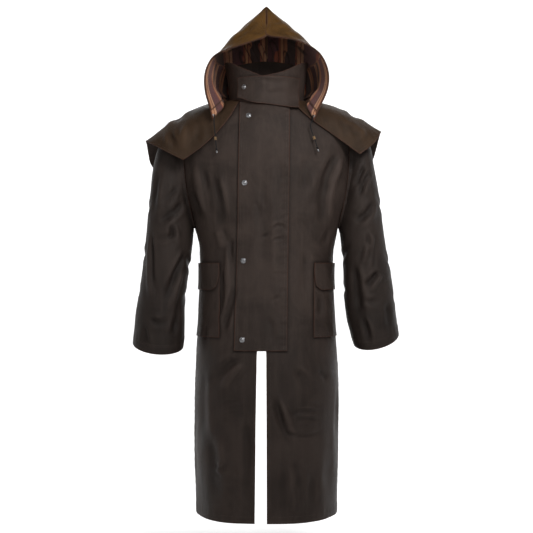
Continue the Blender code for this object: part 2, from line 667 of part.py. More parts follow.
def hood_grid(table, side):
    """Half of the hood from its rows, with its seam columns held off the centre plane."""
    shares = np.linspace(0, 1, HOOD_COLUMNS + 1)
    grid = np.array([along(np.array(row, float), shares) for row in table])
    grid[:, :, 0] = np.maximum(grid[:, :, 0], HOOD_SEAM_X + HOOD_WALL * HOOD_SEAM_WALL)
    return clear_of_front(grid * np.array([side, 1, 1]), HOOD_CLEAR)


def make_hood(word, side, table, cape):
    """Half of the hood, seated on the cape at the nape, and its lining."""
    grid = hood_grid(table, side)
    above = Vector(grid[0, -1] * MM) + Vector((0, 0, 0.2))
    rest, _, _, _ = surface_of(cape).ray_cast(above, Vector((0, 0, -1)))
    grid[0, -1, 2] = rest.z / MM + HOOD_SEAT
    peak = np.array(HOOD_PEAK, float) + np.array([side * (HOOD_SEAM_X + HOOD_WALL * HOOD_SEAM_WALL), 0, 0])
    outward = (side, 0.3, 0)
    shell = facing(grid, outward)
    obj = sheet(f"hood_{word}", shell, HOOD_WALL, HOOD_CLOTH, peak=peak)
    inner = moved_out(shell, np.full(shell.shape[:2], -(HOOD_WALL + LINING_LIFT)))[1:]
    limit = HOOD_SEAM_X + LINING_WALL * LINING_SEAM_WALL
    inner[:, :, 0] = side * np.maximum(side * inner[:, :, 0], limit)
    inner_peak = peak + np.array([0, 0, -LINING_PEAK_DROP])
    inner_peak[0] = side * limit
    sheet(f"hood_lining_{word}", inner, LINING_WALL, STRIPED, peak=inner_peak, first=1)
    return obj


def make_snap(name, place, carrier):
    x, z = place
    spot, normal = on_surface(carrier, x, z)
    radius, high = SNAP_RADIUS, SNAP_HEIGHT
    profile = (
        (0, high), (radius * 0.38, high * 0.93), (radius * 0.68, high * 0.72), (radius * 0.86, high * 0.6),
        (radius * 0.97, high * 0.42), (radius, high * 0.2), (radius * 0.97, 0), (0, 0),
    )
    seated(turned(name, profile, NICKEL), spot, normal)


def make_cord(word, side, hood):
    """A drawcord end: an eyelet in the hood's corner, the cord, its toggle, knot and bead."""
    route = [np.array(p, float) for p in CORD_ROUTES[word]]
    spot, normal = on_surface(hood, route[0][0], route[0][2])
    if spot is None:
        raise RuntimeError("the eyelet misses the hood")
    outer, inner = EYELET_RADIUS, EYELET_RADIUS * 0.5
    profile = ((inner, 1.0), (outer * 0.75, 1.1), (outer, 0.5), (outer, 0), (inner, 0), (inner, 1.0))
    seated(turned(f"eyelet_{word}", profile, NICKEL, 12), spot, normal)
    spot, normal = np.array(spot) / MM, np.array(normal)
    leaving = [spot + normal * reach for reach in CORD_START]
    points = along(np.array([*leaving, *route[1:]]), np.linspace(0, 1, CORD_POINTS))
    tube(f"drawcord_{word}", points, CORD_RADIUS, CORD_CLOTH)
    i = round(TOGGLE_SHARE * (CORD_POINTS - 1))
    make_toggle(word, points[i], points[i + 1] - points[i - 1])
    end, away = points[-1], points[-1] - points[-2]
    away = away / np.linalg.norm(away)
    knot = end + away * (KNOT_RADIUS + 0.3)
    make_ball(f"cord_knot_{word}", knot, away, KNOT_RADIUS, KNOT_RADIUS, CORD_CLOTH)
    bead = knot + away * (KNOT_RADIUS + BEAD_LENGTH / 2 + 0.3)
    make_ball(f"cord_bead_{word}", bead, away, BEAD_RADIUS, BEAD_LENGTH / 2, NICKEL)


def make_toggle(word, middle, direction):
    """A short leather barrel that the cord runs through."""
    half, outer, bore = TOGGLE_LENGTH / 2, TOGGLE_RADIUS, TOGGLE_BORE
    profile = (
        (bore, half), (outer * 0.8, half), (outer, half * 0.6), (outer, -half * 0.6), (outer * 0.8, -half),
        (bore, -half), (bore, half),
    )
    aligned(turned(f"cord_toggle_{word}", profile, LEATHER, 12), middle, direction)


def make_ball(name, middle, direction, radius, half, surface):
    turns = np.linspace(0, math.pi, 8)
    profile = [(radius * math.sin(turn), half * math.cos(turn)) for turn in turns]
    profile[0], profile[-1] = (0, half), (0, -half)
    aligned(turned(name, profile, surface, 12), middle, direction)


def main():
    grids = make_body()
    for word, side, table in (("right", RIGHT, SLEEVE_RIGHT), ("left", LEFT, SLEEVE_LEFT)):
        make_sleeve(word, side, table, grids)
        make_pocket(word, side, grids)
    ring = neck_ring(grids)
    collar = make_collar(ring)
    tab = make_tab(collar)
    fly = make_fly(grids)
    cape = make_cape(ring)
    bpy.context.view_layer.update()
    hoods = {}
    for word, side, table in (("right", RIGHT, HOOD_RIGHT), ("left", LEFT, HOOD_LEFT)):
        hoods[word] = make_hood(word, side, table, cape)
    bpy.context.view_layer.update()
    for name, place in SNAP_PLACES.items():
        make_snap(name, place, tab if name == "snap_throat" else fly)
    for word, side in (("right", RIGHT), ("left", LEFT)):
        make_cord(word, side, hoods[word])


for old in list(bpy.data.objects):
    bpy.data.objects.remove(old)
COAT = bpy.data.collections.new("duster_coat")
bpy.context.scene.collection.children.link(COAT)
WAXED = material("waxed_cotton", (0.045, 0.032, 0.026), 0.6)
HOOD_CLOTH = material("hood_cotton", (0.10, 0.06, 0.03), 0.65)
STRIPED = material("striped_lining", (0.22, 0.11, 0.07), 0.9)
CORD_CLOTH = material("cord", (0.02, 0.016, 0.013), 0.8)
LEATHER = material("toggle_leather", (0.36, 0.20, 0.10), 0.6)
NICKEL = material("nickel", (0.55, 0.55, 0.56), 0.3, 1.0)
main()
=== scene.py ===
"""Looks of a hooded duster coat: waxed-cotton shells, hems, seams, creases, striped lining and fittings.

Each cloth piece starts from its own solid in the frame. The outer layer's grid of points is read back from
the solid, made finer, creased and hemmed, and given its wall again. Lengths are in metres, or in millimetres
where a name or a comment says so. X is to the picture's right, the front faces -Y and Z is up.
"""

import math
from collections import Counter, defaultdict

import bmesh
import bpy
import numpy as np
from bpy.props import FloatProperty, FloatVectorProperty, PointerProperty
from mathutils import Matrix, Vector, noise
from mathutils.bvhtree import BVHTree
from mathutils.kdtree import KDTree


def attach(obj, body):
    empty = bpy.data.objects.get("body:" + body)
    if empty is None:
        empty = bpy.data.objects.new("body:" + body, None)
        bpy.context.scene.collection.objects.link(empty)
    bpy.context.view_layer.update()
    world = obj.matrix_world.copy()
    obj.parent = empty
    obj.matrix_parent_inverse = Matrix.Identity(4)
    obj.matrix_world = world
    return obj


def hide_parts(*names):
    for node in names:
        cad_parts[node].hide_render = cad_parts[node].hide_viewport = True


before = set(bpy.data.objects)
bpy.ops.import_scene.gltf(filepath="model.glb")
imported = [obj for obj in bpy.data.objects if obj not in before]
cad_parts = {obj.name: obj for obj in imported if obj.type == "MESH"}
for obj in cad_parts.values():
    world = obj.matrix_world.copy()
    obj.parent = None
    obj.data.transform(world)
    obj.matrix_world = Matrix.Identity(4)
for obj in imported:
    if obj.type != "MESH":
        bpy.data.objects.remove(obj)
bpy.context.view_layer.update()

bl_info = {
    "name": "Duster Coat",
    "version": (1, 0, 0),
    "blender": (4, 5, 0),
    "location": "View3D > Sidebar > Coat",
    "description": "Builds the cloth, stitching, lining and fittings of a hooded duster coat",
    "category": "Object",
}

MM = 0.001
BODY = "root"
SIDES = (("right", 1), ("left", -1))

# Points of a solid that lie this close are one, and a rim's edges are as long as the wall within this slack
MERGE = 2e-5
RIM_SLACK = 1.6e-5

# Walls of the fly and the tab, of the collar and of the lining
DOUBLED_WALL = 0.0022
COLLAR_WALL = 0.0026
LINING_WALL = 0.001

# Sizes of these pieces' cells, as shares of the coat's
SMALL_CELLS = 0.7
FLY_CELLS = 0.75
HOOD_CELLS = 0.8

# How far the cloth lies flat round a snap or an eyelet
FLAT_REACH = 0.016

# Places of extra rows next to a cut edge, so that a hem's step and its stitched trough have their own points
NEAR_EDGE = (0.0012, 0.0035, 0.006, 0.0085, 0.011)

# For each side that a crease is seen from: the two axes its points are measured along, the way it faces, and
# the share of its depth that is used. Those on the sides are shallow, so the front's outline stays smooth.
VIEWS = {
    "front": ((0, 2), (0, -1, 0), 1),
    "back": ((0, 2), (0, 1, 0), 0.9),
    "right": ((1, 2), (1, 0, 0), 0.4),
    "left": ((1, 2), (-1, 0, 0), 0.4),
    "top": ((0, 1), (0, 0, 1), 1),
}

# Creases, by the pieces that they cross and the side that they are seen from: start, bend and end, width and
# depth, in mm. A negative depth is a ridge.
CREASES = {
    ("front", "front"): (
        # Pulls from the armholes across the chest
        ((-152, -172), (-133, -276), (-125, -350), 13, 5),
        ((-197, -155), (-188, -230), (-170, -305), 13, -4),
        ((-210, -230), (-196, -285), (-180, -345), 11, 4),
        ((-175, -175), (-160, -255), (-150, -330), 9, 2.5),
        ((200, -120), (162, -215), (128, -305), 13, 6),
        ((171, -205), (158, -270), (146, -352), 11, 4.5),
        ((210, -140), (192, -190), (170, -240), 11, -3.5),
        ((180, -330), (168, -370), (152, -410), 9, 3.5),
        ((108, -150), (104, -200), (112, -262), 12, 2),
        # Beside the pockets and the closed front
        ((-86, -500), (-105, -575), (-124, -640), 9, 5),
        ((-108, -380), (-104, -500), (-113, -625), 10, -3),
        ((-138, -345), (-128, -375), (-118, -410), 10, -3),
        ((-95, -365), (-99, -430), (-96, -505), 6, 3),
        ((-126, -445), (-122, -520), (-130, -600), 7, 2.5),
        ((100, -395), (108, -470), (98, -560), 12, 2.5),
        ((142, -520), (149, -560), (143, -600), 8, 3),
        ((160, -600), (178, -622), (168, -652), 6, 3),
        ((163, -632), (176, -648), (186, -668), 6, 2.6),
        ((-165, -600), (-172, -640), (-162, -690), 8, 2.6),
        # Wrinkles on the storm fly
        ((8, -354), (32, -338), (56, -352), 4.5, 2.2),
        ((10, -381), (32, -374), (56, -378), 4, 1.6),
        ((-14, -370), (0, -364), (14, -354), 5, 1.8),
        ((18, -470), (27, -467), (38, -472), 3.5, 1.1),
        ((14, -545), (26, -536), (40, -530), 5, 1.8),
        ((-16, -200), (-6, -350), (-14, -560), 14, 1.8),
        ((30, -140), (38, -210), (28, -300), 13, 1.6),
        ((0, -585), (14, -620), (6, -660), 9, 1.6),
        ((-40, -265), (-22, -300), (-30, -350), 9, 1.4),
        # The right skirt, to the picture's left
        ((-70, -694), (-112, -728), (-152, -772), 13, 4),
        ((-60, -710), (-96, -742), (-128, -784), 13, -3),
        ((-124, -822), (-90, -817), (-54, -826), 3.6, 1.4),
        ((-106, -836), (-76, -832), (-42, -842), 3.6, 1.3),
        ((-118, -852), (-96, -848), (-70, -851), 4, 1.2),
        ((-154, -978), (-124, -998), (-96, -976), 7, 1.8),
        ((-148, -1008), (-133, -1016), (-117, -1019), 6, 1.3),
        ((-123, -976), (-129, -996), (-133, -1022), 7, -2),
        ((-92, -985), (-84, -1002), (-90, -1026), 7, 1.4),
        ((-158, -895), (-150, -1000), (-142, -1100), 18, 4.5),
        ((-58, -815), (-52, -985), (-66, -1135), 15, 4),
        ((-174, -730), (-182, -840), (-178, -960), 14, 4.5),
        ((-100, -1040), (-96, -1085), (-104, -1130), 14, 2.6),
        # The left skirt, to the picture's right
        ((16, -790), (40, -868), (80, -985), 9, 3.8),
        ((34, -800), (54, -850), (72, -905), 10, -2.5),
        ((70, -968), (84, -1016), (94, -1070), 12, 3.2),
        ((44, -886), (90, -910), (168, -898), 6, 3),
        ((60, -855), (105, -842), (162, -852), 5, 2.4),
        ((72, -875), (114, -864), (154, -882), 5, 2.2),
        ((84, -832), (120, -824), (168, -838), 4, 1.3),
        ((74, -728), (96, -752), (116, -784), 10, 3.2),
        ((140, -736), (160, -748), (176, -770), 9, 3.2),
        ((178, -868), (182, -980), (172, -1095), 15, 4.5),
        ((50, -975), (44, -1060), (46, -1135), 15, 3.2),
        ((118, -1000), (126, -1065), (118, -1125), 16, 3),
    ),
    ("front back", "left"): (
        # Round the sides of the body, shared by the fronts and the backs
        ((-60, -250), (-30, -330), (20, -390), 13, 4),
        ((60, -280), (30, -350), (-30, -420), 12, 3.5),
        ((-20, -560), (0, -660), (-14, -770), 14, 4),
        ((40, -700), (52, -860), (36, -1040), 15, 5),
        ((-50, -860), (-40, -960), (-52, -1080), 14, 4),
    ),
    ("front back", "right"): (
        ((-50, -260), (-20, -330), (30, -370), 12, 4),
        ((64, -300), (26, -380), (-20, -440), 13, 3.5),
        ((10, -540), (-4, -640), (12, -760), 14, 4),
        ((-46, -760), (-56, -880), (-40, -1010), 15, 4.5),
        ((52, -830), (40, -950), (54, -1085), 14, 4),
    ),
    ("back", "back"): (
        # The backs
        ((-186, -190), (-150, -280), (-104, -352), 14, 5),
        ((-196, -262), (-172, -330), (-136, -392), 11, 4),
        ((190, -180), (146, -275), (112, -366), 14, 5),
        ((196, -280), (166, -352), (128, -400), 10, 3.5),
        ((-70, -395), (-20, -408), (46, -398), 8, 2.6),
        ((-110, -436), (-60, -446), (-16, -438), 7, 2.2),
        ((24, -440), (70, -452), (118, -438), 7, 2.4),
        ((-60, -250), (-48, -330), (-62, -420), 16, 2.6),
        ((66, -230), (54, -310), (70, -380), 15, 2.4),
        ((-104, -500), (-118, -640), (-100, -800), 15, 4.5),
        ((100, -520), (112, -680), (94, -860), 16, 4.5),
        ((-48, -560), (-36, -700), (-50, -850), 13, 3.5),
        ((44, -600), (54, -760), (40, -900), 13, 3.5),
        ((-150, -820), (-160, -960), (-146, -1100), 16, 5),
        ((150, -860), (158, -980), (144, -1100), 16, 5),
        ((-86, -900), (-78, -1010), (-90, -1120), 14, 3.5),
        ((88, -920), (76, -1030), (86, -1125), 14, 3.5),
    ),
    ("sleeve", "front"): (
        # The sleeve to the picture's left
        ((-222, -400), (-243, -455), (-292, -555), 9, 9),
        ((-232, -448), (-251, -516), (-270, -580), 9, -5),
        ((-237, -532), (-247, -594), (-260, -650), 9, 6),
        ((-333, -340), (-327, -460), (-314, -570), 8, -4),
        ((-319, -345), (-320, -440), (-317, -548), 6, 3),
        ((-265, -330), (-262, -365), (-266, -396), 8, 4),
        ((-298, -166), (-318, -250), (-326, -336), 12, 4),
        ((-226, -262), (-262, -302), (-306, -327), 10, 5),
        ((-246, -350), (-284, -371), (-322, -364), 8, 3),
        ((-328, -586), (-298, -606), (-262, -594), 9, 3.4),
        ((-338, -612), (-336, -640), (-331, -672), 8, 3),
        ((-246, -218), (-268, -252), (-296, -270), 8, 3),
        # The sleeve to the picture's right
        ((277, -162), (260, -200), (250, -236), 7, 4.5),
        ((292, -182), (268, -222), (256, -268), 7, 4.5),
        ((280, -350), (281, -378), (275, -408), 6, 5),
        ((285, -342), (278, -400), (266, -458), 7, -4.5),
        ((296, -350), (291, -410), (280, -474), 6, -3),
        ((314, -462), (294, -484), (270, -510), 8, 6.5),
        ((240, -436), (250, -516), (256, -604), 12, 6),
        ((303, -262), (276, -304), (238, -326), 10, 5.5),
        ((262, -584), (278, -630), (280, -674), 8, 4),
        ((332, -540), (341, -586), (340, -632), 12, 3),
        ((320, -205), (322, -280), (311, -352), 10, 3),
        ((262, -535), (290, -548), (322, -540), 8, 2.6),
    ),
    ("sleeve", "left"): (
        # The outer sides and the backs of the sleeves
        ((-56, -250), (-16, -290), (30, -300), 10, 4),
        ((-70, -380), (-20, -420), (40, -430), 10, 5),
        ((40, -470), (0, -510), (-50, -520), 9, 4),
        ((-10, -540), (6, -590), (-8, -650), 10, 3.5),
    ),
    ("sleeve", "right"): (
        ((-60, -235), (-18, -280), (26, -288), 10, 4),
        ((-66, -400), (-14, -446), (36, -450), 10, 5),
        ((30, -500), (-10, -530), (-60, -548), 9, 4),
        ((4, -570), (-12, -610), (0, -660), 9, 3.5),
    ),
    ("sleeve", "back"): (
        ((-226, -330), (-258, -386), (-306, -410), 10, 6),
        ((-236, -430), (-272, -470), (-318, -480), 9, 5),
        ((-300, -230), (-280, -300), (-290, -370), 11, 4),
        ((-262, -540), (-290, -600), (-286, -660), 10, 4),
        ((228, -340), (262, -392), (308, -402), 10, 6),
        ((240, -440), (276, -476), (322, -500), 9, 5),
        ((296, -220), (276, -300), (286, -366), 11, 4),
        ((266, -546), (296, -596), (290, -664), 10, 4),
    ),
    ("cape", "front"): (
        # The cape
        ((-272, -66), (-262, -100), (-253, -134), 8, 2.4),
        ((-286, -60), (-278, -92), (-268, -124), 9, -2),
        ((-186, -50), (-190, -85), (-198, -122), 11, 2),
        ((-222, -44), (-230, -90), (-226, -136), 10, -2.4),
        ((226, -46), (242, -72), (254, -100), 9, 2.6),
        ((198, -30), (216, -62), (228, -98), 11, 2),
        ((270, -60), (266, -84), (256, -108), 9, -2),
    ),
    ("cape", "top"): (
        ((-240, -60), (-250, 0), (-236, 60), 14, 3),
        ((236, -50), (250, 10), (240, 64), 14, 3),
    ),
    ("cape", "back"): (
        ((-230, -40), (-236, -100), (-226, -160), 11, 4),
        ((-120, -50), (-128, -130), (-116, -200), 13, 4),
        ((-40, -60), (-34, -140), (-44, -205), 12, 3),
        ((60, -50), (66, -130), (56, -205), 13, 3.5),
        ((150, -44), (160, -120), (152, -190), 12, 4),
        ((236, -44), (228, -100), (238, -160), 11, 3.5),
    ),
    ("hood", "front"): (
        # The hood
        ((-96, 178), (-70, 196), (-44, 214), 9, 2),
        ((-52, 196), (-40, 222), (-18, 250), 8, 1.8),
        ((30, 208), (50, 212), (74, 200), 8, 2),
        ((18, 240), (34, 232), (52, 222), 7, 1.8),
    ),
    ("hood", "left"): (
        ((-60, 40), (-30, 80), (20, 96), 12, 2.4),
        ((60, 30), (50, 90), (60, 150), 12, -3),
        ((0, 150), (30, 190), (50, 230), 12, 2.2),
    ),
    ("hood", "right"): (
        ((-56, 50), (-20, 84), (24, 90), 12, 2.4),
        ((66, 36), (54, 96), (62, 156), 12, -3),
        ((6, 146), (34, 186), (46, 226), 12, 2.2),
    ),
    ("hood", "back"): (
        ((-60, 40), (-44, 90), (-58, 150), 12, 2.4),
        ((58, 36), (40, 80), (54, 140), 12, 2.4),
    ),
    ("lining", "back"): (
        # What shows of the lining, inside the hood's back
        ((-70, 208), (-46, 178), (-16, 128), 9, 8),
        ((-38, 214), (-14, 180), (6, 126), 8, 8),
        ((8, 214), (28, 176), (16, 124), 8, 7),
        ((46, 184), (60, 160), (48, 130), 8, 5),
        ((-92, 192), (-76, 170), (-62, 138), 8, 5),
        ((76, 190), (92, 168), (82, 136), 8, 5),
    ),
    ("collar", "front"): (
        # The collar and the throat tab
        ((-20, 66), (20, 58), (74, 62), 6, 1.2),
        ((-8, 22), (26, 30), (66, 24), 6, 1.2),
        ((84, 66), (96, 40), (92, 12), 7, 2),
        ((-96, 60), (-102, 36), (-96, 8), 7, 2),
    ),
}

# Straight steps that each crease's curve is measured in
CREASE_STEPS = 12


def sewn(edges, distance, short):
    """Stitch lines along these edges at one distance, each stopping short of both its ends, in mm."""
    return tuple((edge, distance, short, short) for edge in edges.split())


# Stitch lines of each kind of piece: the edge, the distance from it, and how far short of its two ends it
# stops, in mm. A line with a fifth value lies on the inner side.
SEAMS = {
    "front": sewn("first", 19, 2) + sewn("start end", 2.5, 4) + sewn("start", 8.5, 4) + sewn("end", 11, 4),
    "back": sewn("first", 19, 2) + sewn("end", 2.5, 4) + sewn("end", 8.5, 4),
    "sleeve": sewn("first", 2.5, 0) + sewn("first", 15, 0) + sewn("last", 21, 0) + sewn("last", 25, 0),
    "collar": sewn("last first", 2.5, 3) + sewn("last", 8, 3) + sewn("first", 40, 3),
    "throat_tab": sewn("first last start end", 2.5, 3) + sewn("end", 10.5, 3) + sewn("first last", 8, 8),
    "storm_fly": sewn("first start end last", 3, 3) + sewn("start", 9, 3) + sewn("end", 10, 3),
    "pocket": sewn("first start end", 2.5, 2) + sewn("first start end", 8, 8),
    "pocket_flap": sewn("first start end last", 2.5, 2) + sewn("last first start end", 8, 8),
    "cape": sewn("last start end", 2.5, 3) + sewn("last", 10, 9),
    "hood": sewn("start first", 3, 3) + sewn("start", 16, 3) + (("end", 2.5, 3, 14), ("end", 8, 3, 20)),
    "hood_lining": (("start", 3, 3, 8, True), ("start", 16, 3, 8, True)),
}

# The lining's stripes across one repeat: the share where each starts, and its colour
STRIPE_REPEAT_MM = 104
STRIPES = (
    (0.00, (0.125, 0.052, 0.058)),
    (0.31, (0.330, 0.095, 0.055)),
    (0.37, (0.560, 0.270, 0.140)),
    (0.44, (0.230, 0.070, 0.045)),
    (0.47, (0.480, 0.200, 0.105)),
    (0.55, (0.075, 0.048, 0.045)),
    (0.78, (0.330, 0.100, 0.065)),
    (0.83, (0.620, 0.300, 0.165)),
    (0.91, (0.260, 0.085, 0.055)),
    (0.93, (0.640, 0.340, 0.200)),
)

# Above this height the stripes are counted across from beside the middle, and below it in from the brim
STRIPE_SEAM_Z = 0.128
STRIPE_START_MM = 82
STRIPE_MIDDLE_MM = 4

# The drawcords: their points off the eyelet, and then their routes, in mm
CORD_RADIUS_MM = 1.5
CORD_START_MM = (1.9, 5.0)
CORD_POINTS = 24
CORD_ROUTES = {
    "left": (
        (-143.5, -129, -46), (-143, -129, -62), (-141.5, -130, -78), (-140, -131, -95),
        (-138.5, -131.5, -110), (-137, -132, -125),
    ),
    "right": (
        (127, -128, -47), (121, -130, -60), (121.5, -131, -72), (127, -132, -90), (133, -133, -106),
        (138, -134, -122),
    ),
}

# Length of the finer steps that carry the braid, and the knot's cord and the size of its loops
BRAID_STEP = 0.0007
KNOT_CORD_MM = 1.4
KNOT_LOOP_MM = 0.74
KNOT_POINTS = 60

# Turned fittings: radius and height of each ring from the bottom up, in mm
SNAP_RINGS = (
    (7.1, 0), (7.5, 0.35), (7.5, 0.9), (7.1, 1.25), (6.2, 1.3), (5.9, 1.05), (5.4, 1.1), (5.1, 1.7),
    (4.3, 2.35), (3.1, 2.85), (1.6, 3.12), (0.4, 3.2),
)
EYELET_RINGS = ((2.1, 0), (2.1, 0.75), (2.5, 1.15), (3.1, 1.25), (3.8, 0.85), (4.2, 0.3), (4.2, 0))
TOGGLE_RINGS = (
    (1.95, -4.2), (2.6, -4.5), (3.2, -4.4), (3.5, -3.8), (3.6, -2), (3.45, -1.4), (3.6, -0.8), (3.6, 0.8),
    (3.45, 1.4), (3.6, 2), (3.5, 3.8), (3.2, 4.4), (2.6, 4.5), (1.95, 4.2),
)
BEAD_RINGS = (
    (1.2, -3.5), (2.1, -3.2), (2.3, -2.4), (1.9, -2.0), (2.3, -1.6), (2.75, -0.4), (2.8, 0.6), (2.5, 1.9),
    (1.8, 2.9), (0.5, 3.5),
)
SNAP_SIDES = 32
EYELET_SIDES = 24
SMALL_SIDES = 20

# Studio lights: name, place, size, power and the point each looks at
LIGHTS = (
    ("key", (0.7, -1.35, 0.75), 0.6, 19.0, (0, 0, -0.05)),
    ("fill", (-1.6, -1.6, 0.6), 1.2, 7.0, (0, 0, -0.1)),
    ("hood_front", (0.1, -1.7, 0.05), 0.5, 4.2, (0, 0, 0.12)),
    ("top", (0.0, -0.3, 2.2), 1.6, 3.0, (0, 0, 0)),
    ("back", (0.0, 2.8, 1.2), 1.6, 20.0, (0, 0, -0.4)),
)
CAMERA_PLACE = (0, -3.2, -0.45)
CAMERA_LENS_MM = 75.84
SENSOR_WIDTH_MM = 36.0

# The backdrop: its floor, its back wall, the round between them, and how far it reaches
FLOOR_Z = -1.27
BACK_Y = 6.5
ROUND_RADIUS = 1.6
ROUND_STEPS = 12
FLOOR_FRONT_Y = -8.0
WALL_TOP_Z = 6.0
HALF_WIDTH = 12.0
WORLD_LIGHT = 0.11


class CoatSizes(bpy.types.PropertyGroup):
    """Sizes of the cloth and its sewing."""

    cell: FloatProperty(
        name="Cell", description="Size of the finer cloth grid's cells", default=0.0056, min=0.002,
        subtype="DISTANCE",
    )
    wall: FloatProperty(
        name="Cloth", description="Thickness of the waxed cotton", default=0.0014, min=0.0004,
        subtype="DISTANCE",
    )
    crease: FloatProperty(
        name="Creases", description="How deep the creases are, as a share of the table's depths", default=1.5,
        min=0.0,
    )
    stitch: FloatProperty(
        name="Stitch", description="Length of one stitch and its gap", default=0.0036, min=0.001,
        subtype="DISTANCE",
    )
    thread: FloatProperty(
        name="Thread", description="Width of the sewing thread", default=0.0008, min=0.0002,
        subtype="DISTANCE",
    )
    weave: FloatProperty(
        name="Weave", description="Distance between two threads of the weave", default=0.0009, min=0.0002,
        subtype="DISTANCE",
    )


class CoatColours(bpy.types.PropertyGroup):
    """Colours of the coat's finishes, linear."""

    body: FloatVectorProperty(
        name="Body", description="Waxed cotton of the fronts and backs", default=(0.0440, 0.0315, 0.0262),
        subtype="COLOR", min=0, max=1,
    )
    # Painted shade: the sleeves take the body's colour made darker
    sleeve: FloatVectorProperty(
        name="Sleeves", description="Waxed cotton of the sleeves", default=(0.0315, 0.0232, 0.0196),
        subtype="COLOR", min=0, max=1,
    )
    cape: FloatVectorProperty(
        name="Cape", description="Waxed cotton of the cape", default=(0.045, 0.0262, 0.0150),
        subtype="COLOR", min=0, max=1,
    )
    hood: FloatVectorProperty(
        name="Hood", description="Waxed cotton of the hood", default=(0.088, 0.042, 0.0105),
        subtype="COLOR", min=0, max=1,
    )
    worn: FloatVectorProperty(
        name="Worn edge", description="Cloth where an edge has rubbed", default=(0.062, 0.030, 0.021),
        subtype="COLOR", min=0, max=1,
    )
    thread: FloatVectorProperty(
        name="Thread", description="Sewing thread", default=(0.060, 0.034, 0.025),
        subtype="COLOR", min=0, max=1,
    )
    metal: FloatVectorProperty(
        name="Nickel", description="Snaps, eyelets and beads", default=(0.36, 0.36, 0.37),
        subtype="COLOR", min=0, max=1,
    )
    leather: FloatVectorProperty(
        name="Toggle", description="Leather of the toggles", default=(0.21, 0.125, 0.055),
        subtype="COLOR", min=0, max=1,
    )
    cord: FloatVectorProperty(
        name="Cord", description="Braided drawcord", default=(0.007, 0.006, 0.006),
        subtype="COLOR", min=0, max=1,
    )


def merged(node):
    """A copy of a solid's mesh with its coinciding points merged."""
    bm = bmesh.new()
    bm.from_mesh(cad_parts[node].data)
    bmesh.ops.remove_doubles(bm, verts=bm.verts, dist=MERGE)
    return bm


def outer_layer(bm):
    """The triangles of a wall's outer layer: the larger of the two layers left without the rim."""
    wall = Counter(round(edge.calc_length(), 5) for edge in bm.edges).most_common(1)[0][0]
    rim = [f for f in bm.faces if any(abs(e.calc_length() - wall) < RIM_SLACK for e in f.edges)]
    bmesh.ops.delete(bm, geom=rim, context="FACES")
    layers = []
    waiting = set(bm.faces)
    while waiting:
        stack = [waiting.pop()]
        layer = []
        while stack:
            face = stack.pop()
            layer.append(face)
            for other in [f for edge in face.edges for f in edge.link_faces if f in waiting]:
                waiting.discard(other)
                stack.append(other)
        layers.append(layer)
    return max(layers, key=lambda layer: sum(face.calc_area() for face in layer))


def grid_links(triangles):
    """Each point's neighbours along the grid's rows and columns, without the diagonals of its cells.

    The cells' diagonals turn from cell to cell, so every triangle has one point that no diagonal meets.
    """
    pairs = Counter(frozenset(p) for t in triangles for p in ((t[0], t[1]), (t[1], t[2]), (t[2], t[0])))
    links = defaultdict(set)
    for pair in pairs:
        a, b = pair
        links[a].add(b)
        links[b].add(a)
    border = {v for pair, uses in pairs.items() if uses == 1 for v in pair}
    kind = {v: len(links[v]) == 4 for v in links if v not in border and len(links[v]) in (4, 8)}
    changed = True
    while changed:
        changed = False
        for t in triangles:
            unknown = [v for v in t if v not in kind]
            free = [v for v in t if kind.get(v)]
            if not unknown:
                continue
            if free:
                kind.update({v: False for v in unknown})
                changed = True
            elif len(unknown) == 1:
                kind[unknown[0]] = True
                changed = True
    return {v: {w for w in links[v] if kind[v] or kind[w]} for v in links}, border


def walk(links, border, start, towards, places, ends):
    """Points along the border from start, setting out towards a direction, up to one of the ends."""
    ways = [w for w in links[start] if w in border]
    path = [start, max(ways, key=lambda w: np.dot(places[w] - places[start], towards))]
    while path[-1] not in ends:
        onward = [w for w in links[path[-1]] if w in border and w != path[-2]]
        path.append(onward[0])
    return path


def run_lengths(points, axis=0):
    """Distances along a path, or along a grid's columns (axis 0) or rows (axis 1), from the first points."""
    spans = np.linalg.norm(np.diff(points, axis=axis), axis=-1)
    zero = np.zeros_like(np.take(spans, [0], axis))
    return np.concatenate([zero, np.cumsum(spans, axis=axis)], axis=axis)


